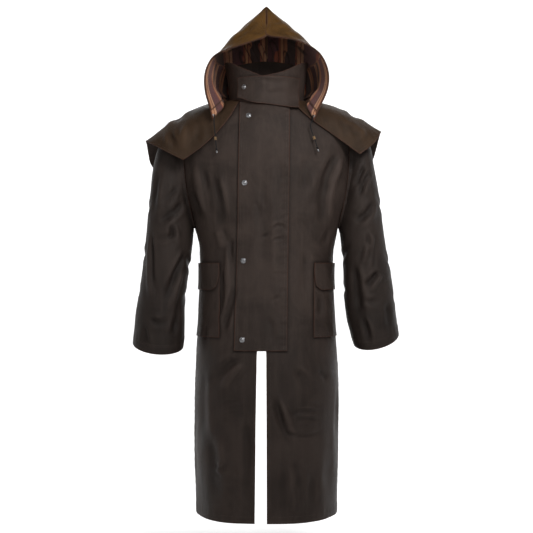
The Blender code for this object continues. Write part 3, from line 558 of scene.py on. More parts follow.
class Cloth:
    """A cloth piece's fine grid: its points, outward normals and distances along and from its edges."""

    def __init__(self, points, turn, closed=False):
        self.points, self.turn, self.closed = points, turn, closed
        self.rise = np.zeros(points.shape[:2])
        self.measure()

    def measure(self):
        """Works out the normals and the distances along the rows (u) and the columns (v) again."""
        p = self.points
        ring = np.concatenate([p[:, -1:], p, p[:, :1]], axis=1) if self.closed else p
        across = np.gradient(ring, axis=1)
        across = across[:, 1:-1] if self.closed else across
        normal = np.cross(across, np.gradient(p, axis=0)) * self.turn
        self.normals = normal / np.maximum(np.linalg.norm(normal, axis=-1, keepdims=True), 1e-12)
        self.u = run_lengths(p, axis=1)
        self.v = run_lengths(p, axis=0)

    def edge(self, name):
        """Distance from one of the four edges: start and end of the rows, first and last row."""
        return {
            "start": self.u, "end": self.u[:, -1:] - self.u, "first": self.v, "last": self.v[-1:] - self.v,
        }[name]

    def move(self, distance):
        """Moves the points out along their normals, and remembers by how much."""
        self.points = self.points + self.normals * distance[..., None]
        self.rise = self.rise + distance

    def line(self, edge, distance):
        """Points and normals on the cloth along an edge, at this distance from it."""
        arrays = [self.points, self.normals, self.edge(edge)]
        if edge in ("start", "end"):
            arrays = [array.swapaxes(0, 1) for array in arrays]
        if edge in ("last", "end"):
            arrays = [array[::-1] for array in arrays]
        points, normals, far = arrays
        i = np.clip((far < distance).sum(axis=0) - 1, 0, len(far) - 2)
        j = np.arange(far.shape[1])
        share = ((distance - far[i, j]) / np.maximum(far[i + 1, j] - far[i, j], 1e-9)).clip(0, 1)[:, None]
        return tuple(array[i, j] * (1 - share) + array[i + 1, j] * share for array in (points, normals))

    def area(self):
        """The area of the grid's cells, each taken as two triangles."""
        p = self.points
        one = np.cross(p[1:, :-1] - p[:-1, :-1], p[:-1, 1:] - p[:-1, :-1])
        two = np.cross(p[:-1, 1:] - p[1:, 1:], p[1:, :-1] - p[1:, 1:])
        return float(np.linalg.norm(one, axis=-1).sum() + np.linalg.norm(two, axis=-1).sum()) / 2


def finer(grid, at):
    """The grid's points at these places along its first axis, on smooth curves through its own points."""
    spans = np.maximum(np.linalg.norm(np.diff(grid, axis=0), axis=-1), 1e-7)[..., None]
    steps = np.diff(grid, axis=0) / spans
    slopes = np.empty_like(grid)
    slopes[1:-1] = (steps[1:] * spans[:-1] + steps[:-1] * spans[1:]) / (spans[:-1] + spans[1:])
    slopes[0] = steps[0] + (steps[0] - steps[1]) * spans[0] / (spans[0] + spans[1])
    slopes[-1] = steps[-1] + (steps[-1] - steps[-2]) * spans[-1] / (spans[-1] + spans[-2])
    i = np.clip(np.floor(at).astype(int), 0, len(grid) - 2)
    s = (at - i)[:, None, None]
    span = spans[i]
    return (
        (2 * s**3 - 3 * s**2 + 1) * grid[i] + (s**3 - 2 * s**2 + s) * slopes[i] * span
        + (3 * s**2 - 2 * s**3) * grid[i + 1] + (s**3 - s**2) * slopes[i + 1] * span
    )


def stops(spans, cell, both_ends=True):
    """Places along a grid, a cell apart, with those of NEAR_EDGE at its ends."""
    run = np.concatenate([[0], np.cumsum(spans)])
    near = np.array(NEAR_EDGE if both_ends else ())
    inner = run[-1] - 2 * (near[-1] if both_ends else 0)
    count = max(2, math.ceil(inner / cell))
    middle = (near[-1] if both_ends else 0) + inner * np.arange(count + 1) / count
    places = np.unique(np.concatenate([[0], near[:-1], middle, run[-1] - near[:-1], [run[-1]]]))
    return np.interp(places, run, np.arange(len(run)))


def first_row(links, border, places, start, along, closed):
    """A grid's first row, from the point furthest towards start: round a tube's end, or along a side."""
    if closed:
        first = max(border, key=lambda v: np.dot(places[v], start))
        return walk(links, border, first, along, places, {first})[:-1]
    corners = {v for v in border if len(links[v]) == 2}
    first = max(corners, key=lambda v: np.dot(places[v], start))
    ways = [w for w in links[first] if w in border]
    others = corners - {first}
    paths = [walk(links, border, first, places[w] - places[first], places, others) for w in ways]
    return max(paths, key=lambda path: np.dot(places[path[-1]] - places[path[0]], along))


def all_rows(links, row):
    """A grid's rows, from its first one on."""
    rows, used = [row], set(row)
    while True:
        onward = [list(links[v] - used) for v in rows[-1]]
        if any(len(way) != 1 for way in onward):
            return rows
        rows.append([way[0] for way in onward])
        used.update(rows[-1])


def turn_of(rows, triangle, normal, places, closed):
    """1 where the rows and columns turn so that their cells face outwards, and otherwise -1."""
    index = {v: (i, j) for i, row in enumerate(rows) for j, v in enumerate(row)}
    (i0, j0), (i1, j1), (i2, j2) = (index[v] for v in triangle)
    if closed:
        j1, j2 = (j0 + (j - j0 + 1) % len(rows[0]) - 1 for j in (j1, j2))
    flat = (j1 - j0) * (i2 - i0) - (j2 - j0) * (i1 - i0)
    a, b, c = (places[v] for v in triangle)
    return 1 if flat * np.dot(np.cross(b - a, c - a), normal) > 0 else -1


def cloth_from(node, start, along, cell, closed=False, peaked=False):
    """A node's outer layer as a fine grid, from the corner furthest towards start, its rows running along.

    The rows of a peaked piece end in one point at its top.
    """
    bm = merged(node)
    layer = outer_layer(bm)
    peak = max({v for face in layer for v in face.verts}, key=lambda v: v.co.z) if peaked else None
    layer = [face for face in layer if peak not in face.verts[:]]
    places = {v.index: np.array(v.co) for face in layer for v in face.verts}
    triangles = [tuple(v.index for v in face.verts) for face in layer]
    middle = len(layer) // 2
    normal = np.array(layer[middle].normal)
    top = None if peak is None else np.array(peak.co)
    bm.free()
    links, border = grid_links(triangles)
    start, along = np.array(start, float), np.array(along, float)
    rows = all_rows(links, first_row(links, border, places, start, along, closed))
    found = len({v for row in rows for v in row})
    if found != len(places):
        raise RuntimeError(f"{node}: the grid has {found} of {len(places)} points")
    turn = turn_of(rows, triangles[middle], normal, places, closed)
    coarse = np.array([[places[v] for v in row] for row in rows])
    if top is not None:
        coarse = np.concatenate([coarse, np.broadcast_to(top, (1, *coarse.shape[1:]))])
    return Cloth(densified(coarse, cell, closed, peaked), turn, closed)


def densified(coarse, cell, closed, peaked=False):
    """A coarse grid's points, finer both ways."""
    spans = np.linalg.norm(np.diff(coarse, axis=0), axis=-1).max(axis=1)
    fine = finer(coarse, stops(spans, cell))
    if closed:
        wrapped = np.concatenate([fine[:, -3:], fine, fine[:, :4]], axis=1)
        spans = np.linalg.norm(np.diff(wrapped, axis=1), axis=-1).max(axis=0)[3:-3]
        at = 3 + stops(spans, cell, both_ends=False)[:-1]
        return finer(wrapped.swapaxes(0, 1), at).swapaxes(0, 1)
    spans = np.linalg.norm(np.diff(fine, axis=1), axis=-1).max(axis=0)
    fine = finer(fine.swapaxes(0, 1), stops(spans, cell)).swapaxes(0, 1)
    if peaked:
        fine[-1] = coarse[-1, 0]
    return fine


def step(value, low, high):
    """Smoothly from 0 at low to 1 at high."""
    s = np.clip((value - low) / (high - low), 0, 1)
    return s * s * (3 - 2 * s)


def seat(node):
    """The middle of a fitting's flat base and the way that the fitting stands out from it."""
    bm = merged(node)
    flats = Counter()
    for face in bm.faces:
        if face.normal.y > 0.3:
            flats[tuple(round(c, 2) for c in face.normal)] += face.calc_area()
    down = Vector(max(flats, key=flats.get)).normalized()
    base = [f for f in bm.faces if f.normal.dot(down) > 0.999]
    corners = {v for f in base for v in f.verts}
    normal = -sum((f.normal * f.calc_area() for f in base), Vector()).normalized()
    middle = sum((v.co for v in corners), Vector()) / len(corners)
    bm.free()
    return middle, normal


def crease_heights(cloth, group):
    """How far the table's creases that cross this group of pieces move the cloth, in mm."""
    points = cloth.points.reshape(-1, 3) / MM
    normals = cloth.normals.reshape(-1, 3)
    height = np.zeros(len(points))
    t = np.linspace(0, 1, CREASE_STEPS + 1)[:, None]
    crossing = [(key[1], *row) for key, table in CREASES.items() if group in key[0].split() for row in table]
    for view, start, bend, end, width, depth in crossing:
        axes, towards, depth_share = VIEWS[view]
        facing = step(normals @ np.array(towards), 0.4, 0.8)
        flat = points[:, axes]
        start, bend, end = (np.array(place, float) for place in (start, bend, end))
        control = 2 * bend - (start + end) / 2
        curve = (1 - t) ** 2 * start + 2 * t * (1 - t) * control + t**2 * end
        reach = 4 * width
        near = np.all((flat > curve.min(0) - reach) & (flat < curve.max(0) + reach), axis=1) & (facing > 0)
        spot = flat[near]
        best, share, side = np.full(len(spot), np.inf), np.zeros(len(spot)), np.zeros(len(spot))
        for k in range(CREASE_STEPS):
            way = curve[k + 1] - curve[k]
            along = np.clip(((spot - curve[k]) @ way) / (way @ way), 0, 1)
            off = spot - curve[k] - along[:, None] * way
            far = np.hypot(off[:, 0], off[:, 1])
            closer = far < best
            best = np.where(closer, far, best)
            share = np.where(closer, (k + along) / CREASE_STEPS, share)
            side = np.where(closer, way[0] * off[:, 1] - way[1] * off[:, 0], side)
        s = best / (width * (0.75 + 0.5 * share))
        taper = step(share, 0, 0.3) * (1 - step(share, 0.6, 1)) * (1 + 0.25 * np.sin(9 * share + start[0]))
        shoulders = np.exp(-(((s - 1.8) / 0.8) ** 2)) * np.where(side > 0, 0.55, 0.25)
        height[near] -= depth * depth_share * taper * (np.exp(-(s**2)) - shoulders) * facing[near]
    return height.reshape(cloth.points.shape[:2])


def swell_heights(cloth, size, stretch=0.45):
    """Soft uneven swells, longer up and down than across, from -1 to 1."""
    scale = np.array((1, 1, stretch)) / size
    places = (cloth.points * scale).reshape(-1, 3).tolist()
    return np.array([noise.noise(place) for place in places]).reshape(cloth.points.shape[:2])


def crease(cloth, group, swell=1.0, inner=None):
    """Creases the cloth, and leaves it flat round the fittings that sit on it.

    A lining takes its outer cloth's creases, and its own ones only move it further in.
    """
    height = crease_heights(cloth, group)
    if inner is not None:
        height += np.minimum(crease_heights(cloth, inner), 0)
    if group == "sleeve":
        height *= step(cloth.edge("first"), 0.004, 0.05)
    height *= bpy.context.scene.coat_sizes.crease
    height += swell * (2.0 * swell_heights(cloth, 0.075) + 0.5 * swell_heights(cloth, 0.022, 0.7))
    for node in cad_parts:
        if node.startswith(("snap", "eyelet")):
            far = np.linalg.norm(cloth.points - np.array(seat(node)[0]), axis=-1)
            height *= 1 - np.exp(-((far / FLAT_REACH) ** 4))
    cloth.move(height * MM)
    cloth.measure()


def hem(cloth, edge, width, rise=0.0007, trough=0.0005, pucker=0.0004, pitch=0.021):
    """A turned hem along one edge: a raised band that ends in a stitched trough with small puckers."""
    d = cloth.edge(edge)
    along = cloth.v if edge in ("start", "end") else cloth.u
    band = rise * (1 - step(d, width - 0.002, width + 0.003))
    stitched = trough * np.exp(-(((d - width + 0.003) / 0.002) ** 2))
    wave = np.sin(2 * math.pi * along / pitch + 2.1 * np.sin(along * 19)) + 0.6 * np.sin(along * 137 + 1.7)
    cloth.move(band - stitched + pucker * wave * np.exp(-(((d - width) / 0.012) ** 2)))


def mesh_object(name, points, faces, materials, uv=None, values=None):
    """A mesh object with smooth faces, an own UV map in metres and named values on its points."""
    mesh = bpy.data.meshes.new(name)
    mesh.from_pydata(points, [], faces)
    mesh.shade_smooth()
    for made in materials:
        mesh.materials.append(made)
    if uv is not None:
        corner = np.empty(len(mesh.loops), int)
        mesh.loops.foreach_get("vertex_index", corner)
        layer = mesh.uv_layers.new(name="cloth")
        layer.data.foreach_set("uv", uv[corner].astype(np.float32).ravel())
    for key, value in (values or {}).items():
        attribute = mesh.attributes.new(key, "FLOAT", "POINT")
        attribute.data.foreach_set("value", np.asarray(value, np.float32).ravel())
    obj = bpy.data.objects.new(name, mesh)
    bpy.context.scene.collection.objects.link(obj)
    return obj


def grid_faces(rows, columns, closed, turn):
    """Four-sided faces of a grid, turned so that they point outwards."""
    i = np.arange(rows - 1)[:, None]
    j = np.arange(columns if closed else columns - 1)[None]
    k = (j + 1) % columns
    a, b, c, d = i * columns + j, i * columns + k, (i + 1) * columns + k, (i + 1) * columns + j
    order = (a, b, c, d) if turn > 0 else (a, d, c, b)
    return np.stack([np.broadcast_to(x, (rows - 1, j.size)) for x in order], axis=-1).reshape(-1, 4)


def cloth_object(name, cloth, wall, outer, inner=None, values=None):
    """The cloth's mesh with its wall, its UV map, and the values for its rubbed wear and its painted shade
    and highlight, as an object that rides on the coat.
    """
    rows, columns = cloth.points.shape[:2]
    uv = np.stack([cloth.u, cloth.v], axis=-1).reshape(-1, 2)
    free = ("first", "last") if cloth.closed else ("start", "end", "first", "last")
    border = np.minimum.reduce([cloth.edge(edge) for edge in free])
    values = {"border": border, "rise": cloth.rise / MM, **(values or {})}
    faces = grid_faces(rows, columns, cloth.closed, cloth.turn)
    obj = mesh_object(name, cloth.points.reshape(-1, 3), faces, [outer, inner or outer], uv, values)
    if cloth.closed:
        close_uv(obj, cloth)
    bm = bmesh.new()
    bm.from_mesh(obj.data)
    bmesh.ops.dissolve_degenerate(bm, edges=bm.edges, dist=1e-6)
    bmesh.ops.remove_doubles(bm, verts=bm.verts, dist=1e-6)
    bm.to_mesh(obj.data)
    bm.free()
    thick = obj.modifiers.new("Wall", "SOLIDIFY")
    thick.thickness = wall
    thick.offset = -1
    thick.material_offset = 1
    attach(obj, BODY)
    return obj


def close_uv(obj, cloth):
    """Carries the UV map on past the last column, where a tube's rows close."""
    columns = cloth.points.shape[1]
    gap = np.linalg.norm(cloth.points[:, 0] - cloth.points[:, -1], axis=-1)
    layer = obj.data.uv_layers["cloth"]
    for polygon in obj.data.polygons:
        on = [obj.data.loops[k].vertex_index for k in polygon.loop_indices]
        if {v % columns for v in on} == {0, columns - 1}:
            for k, v in zip(polygon.loop_indices, on):
                if v % columns == 0:
                    row = v // columns
                    layer.data[k].uv[0] = cloth.u[row, -1] + gap[row]


# A stitch starts this share of its pitch along, and shows over this share. It has three sections, each two
# points on the cloth and one on top: share of its length, half its width and the height of its top, as shares
# of the thread.
STITCH_START = 0.15
STITCH_SHOWS = 0.7
STITCH_SECTIONS = ((0, 0.3, 0.0), (0.5, 0.5, 0.75), (1, 0.3, 0.0))
STITCH_FACES = tuple(
    (3 * s + a, 3 * s + b, 3 * s + 3 + b, 3 * s + 3 + a) for s in (0, 1) for a, b in ((0, 1), (1, 2), (2, 0))
) + ((2, 1, 0), (6, 7, 8))


def stitch_line(points, normals, short, sizes):
    """The points of a row of stitches along a line on the cloth."""
    run = run_lengths(points)
    first, last = short[0] * MM, run[-1] - short[1] * MM
    count = int((last - first) / sizes.stitch)
    if count < 2:
        return np.zeros((0, 3))
    begin = first + (np.arange(count) + STITCH_START) * sizes.stitch
    ends = (begin, begin + STITCH_SHOWS * sizes.stitch)
    at = [np.stack([np.interp(end, run, axis) for axis in points.T], -1) for end in ends]
    up = np.stack([np.interp(begin, run, axis) for axis in normals.T], -1)
    side = np.cross(up, at[1] - at[0])
    side /= np.maximum(np.linalg.norm(side, axis=1, keepdims=True), 1e-12)
    sections = []
    for share, half, top in STITCH_SECTIONS:
        middle = at[0] + share * (at[1] - at[0]) - up * 0.15 * MM
        sections += [
            middle - side * half * sizes.thread, middle + side * half * sizes.thread,
            middle + up * (0.2 * MM + top * sizes.thread),
        ]
    return np.stack(sections, axis=1).reshape(-1, 3)


def stitching(name, cloth, seams, wall):
    """All of a piece's stitches as one object."""
    sizes = bpy.context.scene.coat_sizes
    rows = []
    for edge, distance, *rest in seams:
        points, normals = cloth.line(edge, distance * MM)
        if cloth.closed:
            points, normals = (np.concatenate([array, array[:1]]) for array in (points, normals))
        if len(rest) > 2:
            points, normals = points - normals * wall, -normals
        rows.append(stitch_line(points, normals, rest[:2], sizes))
    points = np.concatenate(rows)
    corners = len(STITCH_SECTIONS) * 3
    faces = [tuple(n + k for k in face) for n in range(0, len(points), corners) for face in STITCH_FACES]
    obj = mesh_object(name, points, faces, [named("thread")])
    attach(obj, BODY)
    return obj


# The edges of the pieces made so far, which press a groove of this width and depth into the cloth beneath and
# paint a shade line of the same width along it
OUTLINES = {}
PRESSED_WIDTH = 0.0055
PRESSED_DEPTH = 0.0008


def pressed(cloth, above):
    """How much each point is pressed by the nearest edge of the pieces that lie above it, from 0 to 1; the
    same share sets the painted shade there.
    """
    edges = np.concatenate([OUTLINES[node] for node in above]).tolist()
    tree = KDTree(len(edges))
    for number, place in enumerate(edges):
        tree.insert(place, number)
    tree.balance()
    far = np.array([tree.find(place)[2] for place in cloth.points.reshape(-1, 3).tolist()])
    return np.exp(-((far / PRESSED_WIDTH) ** 2)).reshape(cloth.rise.shape)


def finish_piece(
    node, cloth, wall, finish, inner=None, values=None, above=()
):
    """Makes a cloth piece and its stitching."""
    kind = node.removesuffix("_right").removesuffix("_left")
    p = cloth.points
    OUTLINES[node] = np.concatenate([p[0], p[-1]] + ([] if cloth.closed else [p[:, 0], p[:, -1]]))
    if above:
        # Presses the cloth in under the edges above, and keeps the same share as painted shade
        shade = pressed(cloth, above)
        cloth.move(-PRESSED_DEPTH * shade)
        values = {"shade": shade, **(values or {})}
    obj = cloth_object(f"cloth_{node}", cloth, wall, named(finish), named(inner or finish), values)
    sewing = stitching(f"stitches_{node}", cloth, SEAMS[kind], wall)
    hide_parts(node)
    width = float(np.median(cloth.u[:, -1]) if cloth.closed else cloth.u[:, -1].max())
    flat = (round(width, 3), round(float(cloth.v[-1].max()), 3))
    area = min(cloth.area(), flat[0] * flat[1])


class Value:
    """A number socket, so that sums on it make Math nodes."""

    def __init__(self, shader, socket):
        self.shader, self.socket = shader, socket

    def maths(self, operation, *others):
        values = {0: self, **{n + 1: other for n, other in enumerate(others)}}
        return self.shader.node("ShaderNodeMath", {"operation": operation}, values)

    def __add__(self, other):
        return self.maths("ADD", other)

    def __sub__(self, other):
        return self.maths("SUBTRACT", other)

    def __rsub__(self, other):
        return self.shader.node("ShaderNodeMath", {"operation": "SUBTRACT"}, {0: other, 1: self})

    def __mul__(self, other):
        return self.maths("MULTIPLY", other)

    def __truediv__(self, other):
        return self.maths("DIVIDE", other)

    __radd__ = __add__
    __rmul__ = __mul__


class Shader:
    """A material's nodes, made one call at a time."""

    def __init__(self, name, **constants):
        self.material = bpy.data.materials.new(name)
        self.material.use_nodes = True
        self.tree = self.material.node_tree
        self.surface = self.tree.nodes["Principled BSDF"]
        for key, value in constants.items():
            self.surface.inputs[key.replace("_", " ").title().replace("Ior", "IOR")].default_value = value

    def node(self, kind, settings=None, values=None, output=0):
        """Adds a node with its settings and the values or links of its sockets, and gives its output."""
        made = self.tree.nodes.new(kind)
        for key, value in (settings or {}).items():
            if key == "stops":
                self.fill_ramp(made.color_ramp, value)
            else:
                setattr(made, key, value)
        for key, value in (values or {}).items():
            if isinstance(value, Value):
                self.tree.links.new(value.socket, made.inputs[key])
            else:
                made.inputs[key].default_value = value
        return Value(self, made.outputs[output])

    def fill_ramp(self, ramp, table):
        """Sets a ramp of bands, each of one colour from its place to the next."""
        ramp.interpolation = "CONSTANT"
        while len(ramp.elements) < len(table):
            ramp.elements.new(1.0)
        for element, (place, colour) in zip(ramp.elements, table):
            element.position = place
            element.color = (*colour, 1)

    def coordinates(self):
        return self.node("ShaderNodeTexCoord", output="Object")

    def uv(self):
        return self.node("ShaderNodeUVMap", {"uv_map": "cloth"})

    def attribute(self, name):
        return self.node("ShaderNodeAttribute", {"attribute_name": name}, output="Fac")

    def noise(self, where, scale, detail=4.0, roughness=0.55, distortion=0.0):
        values = {"Vector": where, "Scale": scale, "Detail": detail, "Roughness": roughness}
        values["Distortion"] = distortion
        return self.node("ShaderNodeTexNoise", None, values)

    def mapped(self, value, low, high, to_low=0.0, to_high=1.0):
        values = {"Value": value, "From Min": low, "From Max": high, "To Min": to_low, "To Max": to_high}
        return self.node("ShaderNodeMapRange", {"interpolation_type": "SMOOTHSTEP"}, values)

    def mix(self, share, one, other):
        made = self.tree.nodes.new("ShaderNodeMix")
        made.data_type = "RGBA"
        for key, value in ((0, share), (6, colour_of(one)), (7, colour_of(other))):
            if isinstance(value, Value):
                self.tree.links.new(value.socket, made.inputs[key])
            else:
                made.inputs[key].default_value = value
        return Value(self, made.outputs[2])

    def feed(self, **inputs):
        for key, value in inputs.items():
            self.tree.links.new(value.socket, self.surface.inputs[key.replace("_", " ").title()])

    def bump(self, height, distance, strength=1.0):
        values = {"Height": height, "Distance": distance, "Strength": strength}
        self.feed(normal=self.node("ShaderNodeBump", None, values))


def colour_of(value):
    return value if isinstance(value, (Value, float, int)) else (*value, 1.0)


def scaled(colour, factor):
    return tuple(min(1.0, c * factor) for c in colour)


def weave_height(shader, uv, pitch):
    """A plain weave: two crossed sets of round threads."""
    apart = shader.node("ShaderNodeSeparateXYZ", None, {"Vector": uv}, output="X")
    up = Value(shader, apart.socket.node.outputs["Y"])
    over = (apart * (2 * math.pi / pitch)).maths("SINE")
    under = (up * (2 * math.pi / pitch)).maths("SINE")
    return over * under


def waxed_cotton(name, colour, worn, sheen=0.015, gloss=0.50, mottle=0.25):
    """Waxed cotton: a fine weave, cloudy wax, painted shade in the creases' troughs, towards the hem and
    under the pieces above, rubbed edges, and ridges lightened by painted highlight and wear.
    """
    sizes = bpy.context.scene.coat_sizes
    shader = Shader(name, specular_ior_level=0.12, sheen_weight=sheen, sheen_roughness=0.4)
    shader.surface.inputs["Sheen Tint"].default_value = (*scaled(colour, 12), 1)
    where, uv = shader.coordinates(), shader.uv()
    clouds = shader.noise(where, 9.0, 5.0, 0.6, 0.6)
    drawn = shader.node("ShaderNodeVectorMath", {"operation": "MULTIPLY"}, {0: where, 1: (1.0, 1.0, 0.12)})
    streaks = shader.noise(drawn, 60.0, 4.0, 0.65)
    grain = shader.noise(uv, 900.0, 2.0, 0.7)
    crumple = shader.noise(where, 34.0, 5.0, 0.62, 1.4)
    border, rise = shader.attribute("border"), shader.attribute("rise")
    dark, pale = scaled(colour, 1 - mottle), scaled(colour, 1 + mottle)
    base = shader.mix(shader.mapped(clouds, 0.32, 0.68), dark, pale)
    base = shader.mix(shader.mapped(streaks, 0.42, 0.75, 0, 0.5), base, scaled(colour, 1.5))
    # Painted highlight, with some wear: the crease ridges are lighter
    base = shader.mix(shader.mapped(rise, 0.5, 4.0, 0, 0.45), base, scaled(colour, 1.9))
    # Painted shade: the crease troughs are darker
    base = shader.mix(shader.mapped(rise, -5.0, -0.6, 0.55, 0), base, scaled(colour, 0.45))
    # Painted shade: darker towards the hem, where less light falls from above
    hem_shade_height = shader.node("ShaderNodeSeparateXYZ", None, {"Vector": where}, output="Z")
    base = shader.mix(shader.mapped(hem_shade_height, -0.78, -0.45, 0.3, 0), base, scaled(colour, 0.3))
    # Painted shade under the edges of the pieces that lie above
    base = shader.mix(shader.attribute("shade") * 0.8, base, scaled(colour, 0.22))
    rub = shader.mapped(border, 0.0006, 0.0036, 0.9, 0) * shader.mapped(streaks, 0.3, 0.6, 0.45, 1)
    base = shader.mix(rub, base, worn)
    base = shader.mix(shader.mapped(grain, 0.35, 0.7, 0, 0.25), base, scaled(colour, 0.7))
    rough = shader.mapped(clouds, 0.3, 0.7, gloss - 0.07, gloss + 0.1) + rub * 0.1
    height = weave_height(shader, uv, sizes.weave) * 0.25 + grain * 0.5 + streaks * 0.6 + crumple * 3.0
    shader.feed(base_color=base, roughness=rough)
    shader.bump(height, 0.0006, 0.55)
    return shader.material


def striped_lining(name):
    """Brushed cotton with woven stripes, laid across the attribute that counts millimetres over them."""
    shader = Shader(name, specular_ior_level=0.15, sheen_weight=0.25, sheen_roughness=0.6)
    shader.surface.inputs["Sheen Tint"].default_value = (0.6, 0.42, 0.34, 1)
    where, uv = shader.coordinates(), shader.uv()
    nap = shader.noise(where, 260.0, 3.0, 0.6)
    grain = shader.noise(uv, 700.0, 2.0, 0.7)
    clouds = shader.noise(where, 16.0, 3.0)
    across = shader.attribute("stripe") + (nap - 0.5) * 1.6
    share = (across / STRIPE_REPEAT_MM).maths("FRACT")
    bands = shader.node("ShaderNodeValToRGB", {"stops": STRIPES}, {"Fac": share})
    dull = shader.mix(0.45, bands, (0.05, 0.028, 0.02))
    base = shader.mix(shader.mapped(clouds, 0.3, 0.7, 0, 0.45), bands, dull)
    base = shader.mix(shader.mapped(grain, 0.35, 0.75, 0, 0.4), base, (0.045, 0.028, 0.022))
    rise = shader.attribute("rise")
    # Painted shade: darker along the lining's folds
    fold_shade = shader.mapped(rise, -6.0, -1.5, 0, 1) * shader.mapped(rise, -1.5, -0.3, 0.75, 0)
    base = shader.mix(fold_shade, base, (0.02, 0.012, 0.010))
    rim = shader.mapped(shader.attribute("border"), 0.002, 0.006, 0.8, 0)
    base = shader.mix(rim, base, (0.04, 0.018, 0.010))
    shader.feed(base_color=base, roughness=shader.mapped(nap, 0.3, 0.7, 0.82, 0.95))
    shader.bump(weave_height(shader, uv, 0.0011) * 0.3 + nap * 0.8 + grain * 0.4, 0.0007, 0.6)
    return shader.material


def nickel(name, colour):
    """Nickel plate, brushed by wear and dull in its hollows."""
    shader = Shader(name, specular_ior_level=0.5)
    where = shader.coordinates()
    dull = shader.noise(where, 420.0, 4.0, 0.65)
    spots = shader.noise(where, 1500.0, 2.0)
    base = shader.mix(shader.mapped(dull, 0.45, 0.75, 0, 0.6), tuple(colour), scaled(colour, 0.45))
    base = shader.mix(shader.mapped(spots, 0.6, 0.75, 0, 0.4), base, (0.12, 0.10, 0.09))
    rough = shader.mapped(dull, 0.3, 0.7, 0.2, 0.42)
    shader.feed(base_color=base, roughness=rough, metallic=shader.mapped(spots, 0.62, 0.8, 1, 0.7))
    shader.bump(dull, 0.0002, 0.3)
    return shader.material


def fibre(name, colour, pitch, rough=0.78):
    """Thread, cord or leather: short fibres and pores over a slightly uneven colour."""
    shader = Shader(name, specular_ior_level=0.3, sheen_weight=0.08, sheen_roughness=0.5)
    where = shader.coordinates()
    fine = shader.noise(where, 1 / pitch, 3.0, 0.6)
    broad = shader.noise(where, 0.12 / pitch, 3.0)
    base = shader.mix(shader.mapped(broad, 0.3, 0.7), scaled(colour, 0.7), scaled(colour, 1.3))
    base = shader.mix(shader.mapped(fine, 0.4, 0.75, 0, 0.6), base, scaled(colour, 0.55))
    shader.feed(base_color=base, roughness=shader.mapped(fine, 0.3, 0.7, rough - 0.08, rough + 0.1))
    shader.bump(fine, pitch * 0.5, 0.5)
    return shader.material


def backdrop_paper(name):
    """White studio paper that glows a little, so that it stays plain and pale."""
    shader = Shader(name, specular_ior_level=0.0, roughness=0.95, emission_strength=1.0)
    where = shader.coordinates()
    paper = shader.mix(shader.noise(where, 3.0), (0.80, 0.80, 0.80), (0.84, 0.84, 0.84))
    deep = shader.node("ShaderNodeSeparateXYZ", None, {"Vector": where}, output="Y")
    glow = shader.mix(shader.mapped(deep, -0.1, 0.5), (0.10, 0.10, 0.10), (0.85, 0.85, 0.85))
    shader.feed(base_color=paper, emission_color=glow)
    return shader.material


# The finishes made so far, by name
MATERIALS = {}


def named(name):
    """A finish by its name, made when it is first asked for."""
    if name not in MATERIALS:
        colours = bpy.context.scene.coat_colours
        worn = tuple(colours.worn)
        makers = {
            "body": lambda: waxed_cotton("body_waxed", tuple(colours.body), worn),
            "sleeve": lambda: waxed_cotton("sleeve_waxed", tuple(colours.sleeve), worn),
            "cape": lambda: waxed_cotton("cape_waxed", tuple(colours.cape), scaled(worn, 1.3)),
            "hood": lambda: waxed_cotton("hood_waxed", tuple(colours.hood), scaled(worn, 1.5), mottle=0.5),
            "inside": lambda: waxed_cotton("cotton_inside", scaled(colours.body, 1.1), worn, 0.03, 0.75),
            "lining": lambda: striped_lining("lining_striped"),
            "thread": lambda: fibre("sewing_thread", tuple(colours.thread), 0.0003),
            "cord": lambda: fibre("braided_cord", tuple(colours.cord), 0.0006),
            "leather": lambda: fibre("toggle_leather", tuple(colours.leather), 0.0008, 0.6),
            "nickel": lambda: nickel("nickel_plate", colours.metal),
            "stage": lambda: backdrop_paper("backdrop_paper"),
        }
        MATERIALS[name] = makers[name]()
    return MATERIALS[name]


class COAT_OT_body(bpy.types.Operator):
    """Builds the fronts and the backs"""

    bl_idname = "coat.body"
    bl_label = "Fronts and backs"

    def execute(self, context):
        sizes = context.scene.coat_sizes
        for word, side in SIDES:
            for half, faces in (("front", -1), ("back", 1)):
                cloth = cloth_from(f"{half}_{word}", (side, 0, -1), (-side, faces * 0.2, 0), sizes.cell)
                crease(cloth, half)
                hem(cloth, "first", 0.022)
                hem(cloth, "end", 0.012, pucker=0.0002)
                if half == "front":
                    hem(cloth, "start", 0.010, pucker=0.0003)
                cloth.measure()
                above = [f"sleeve_{word}", "cape"]
                if half == "front":
                    above += ["storm_fly", "throat_tab", f"pocket_{word}", f"pocket_flap_{word}"]
                finish_piece(
                    f"{half}_{word}", cloth, sizes.wall, "body", inner="inside", above=above
                )
        return {"FINISHED"}


class COAT_OT_sleeves(bpy.types.Operator):
    """Builds the sleeves"""

    bl_idname = "coat.sleeves"
    bl_label = "Sleeves"

    def execute(self, context):
        sizes = context.scene.coat_sizes
        for word, side in SIDES:
            cloth = cloth_from(f"sleeve_{word}", (0, 0, 1), (0, -1, 0), sizes.cell, closed=True)
            crease(cloth, "sleeve")
            hem(cloth, "first", 0.017, rise=0.0009, pucker=0.0006)
            hem(cloth, "last", 0.025)
            cloth.measure()
            finish_piece(
                f"sleeve_{word}", cloth, sizes.wall, "sleeve", inner="inside", above=["cape"]
            )
        return {"FINISHED"}


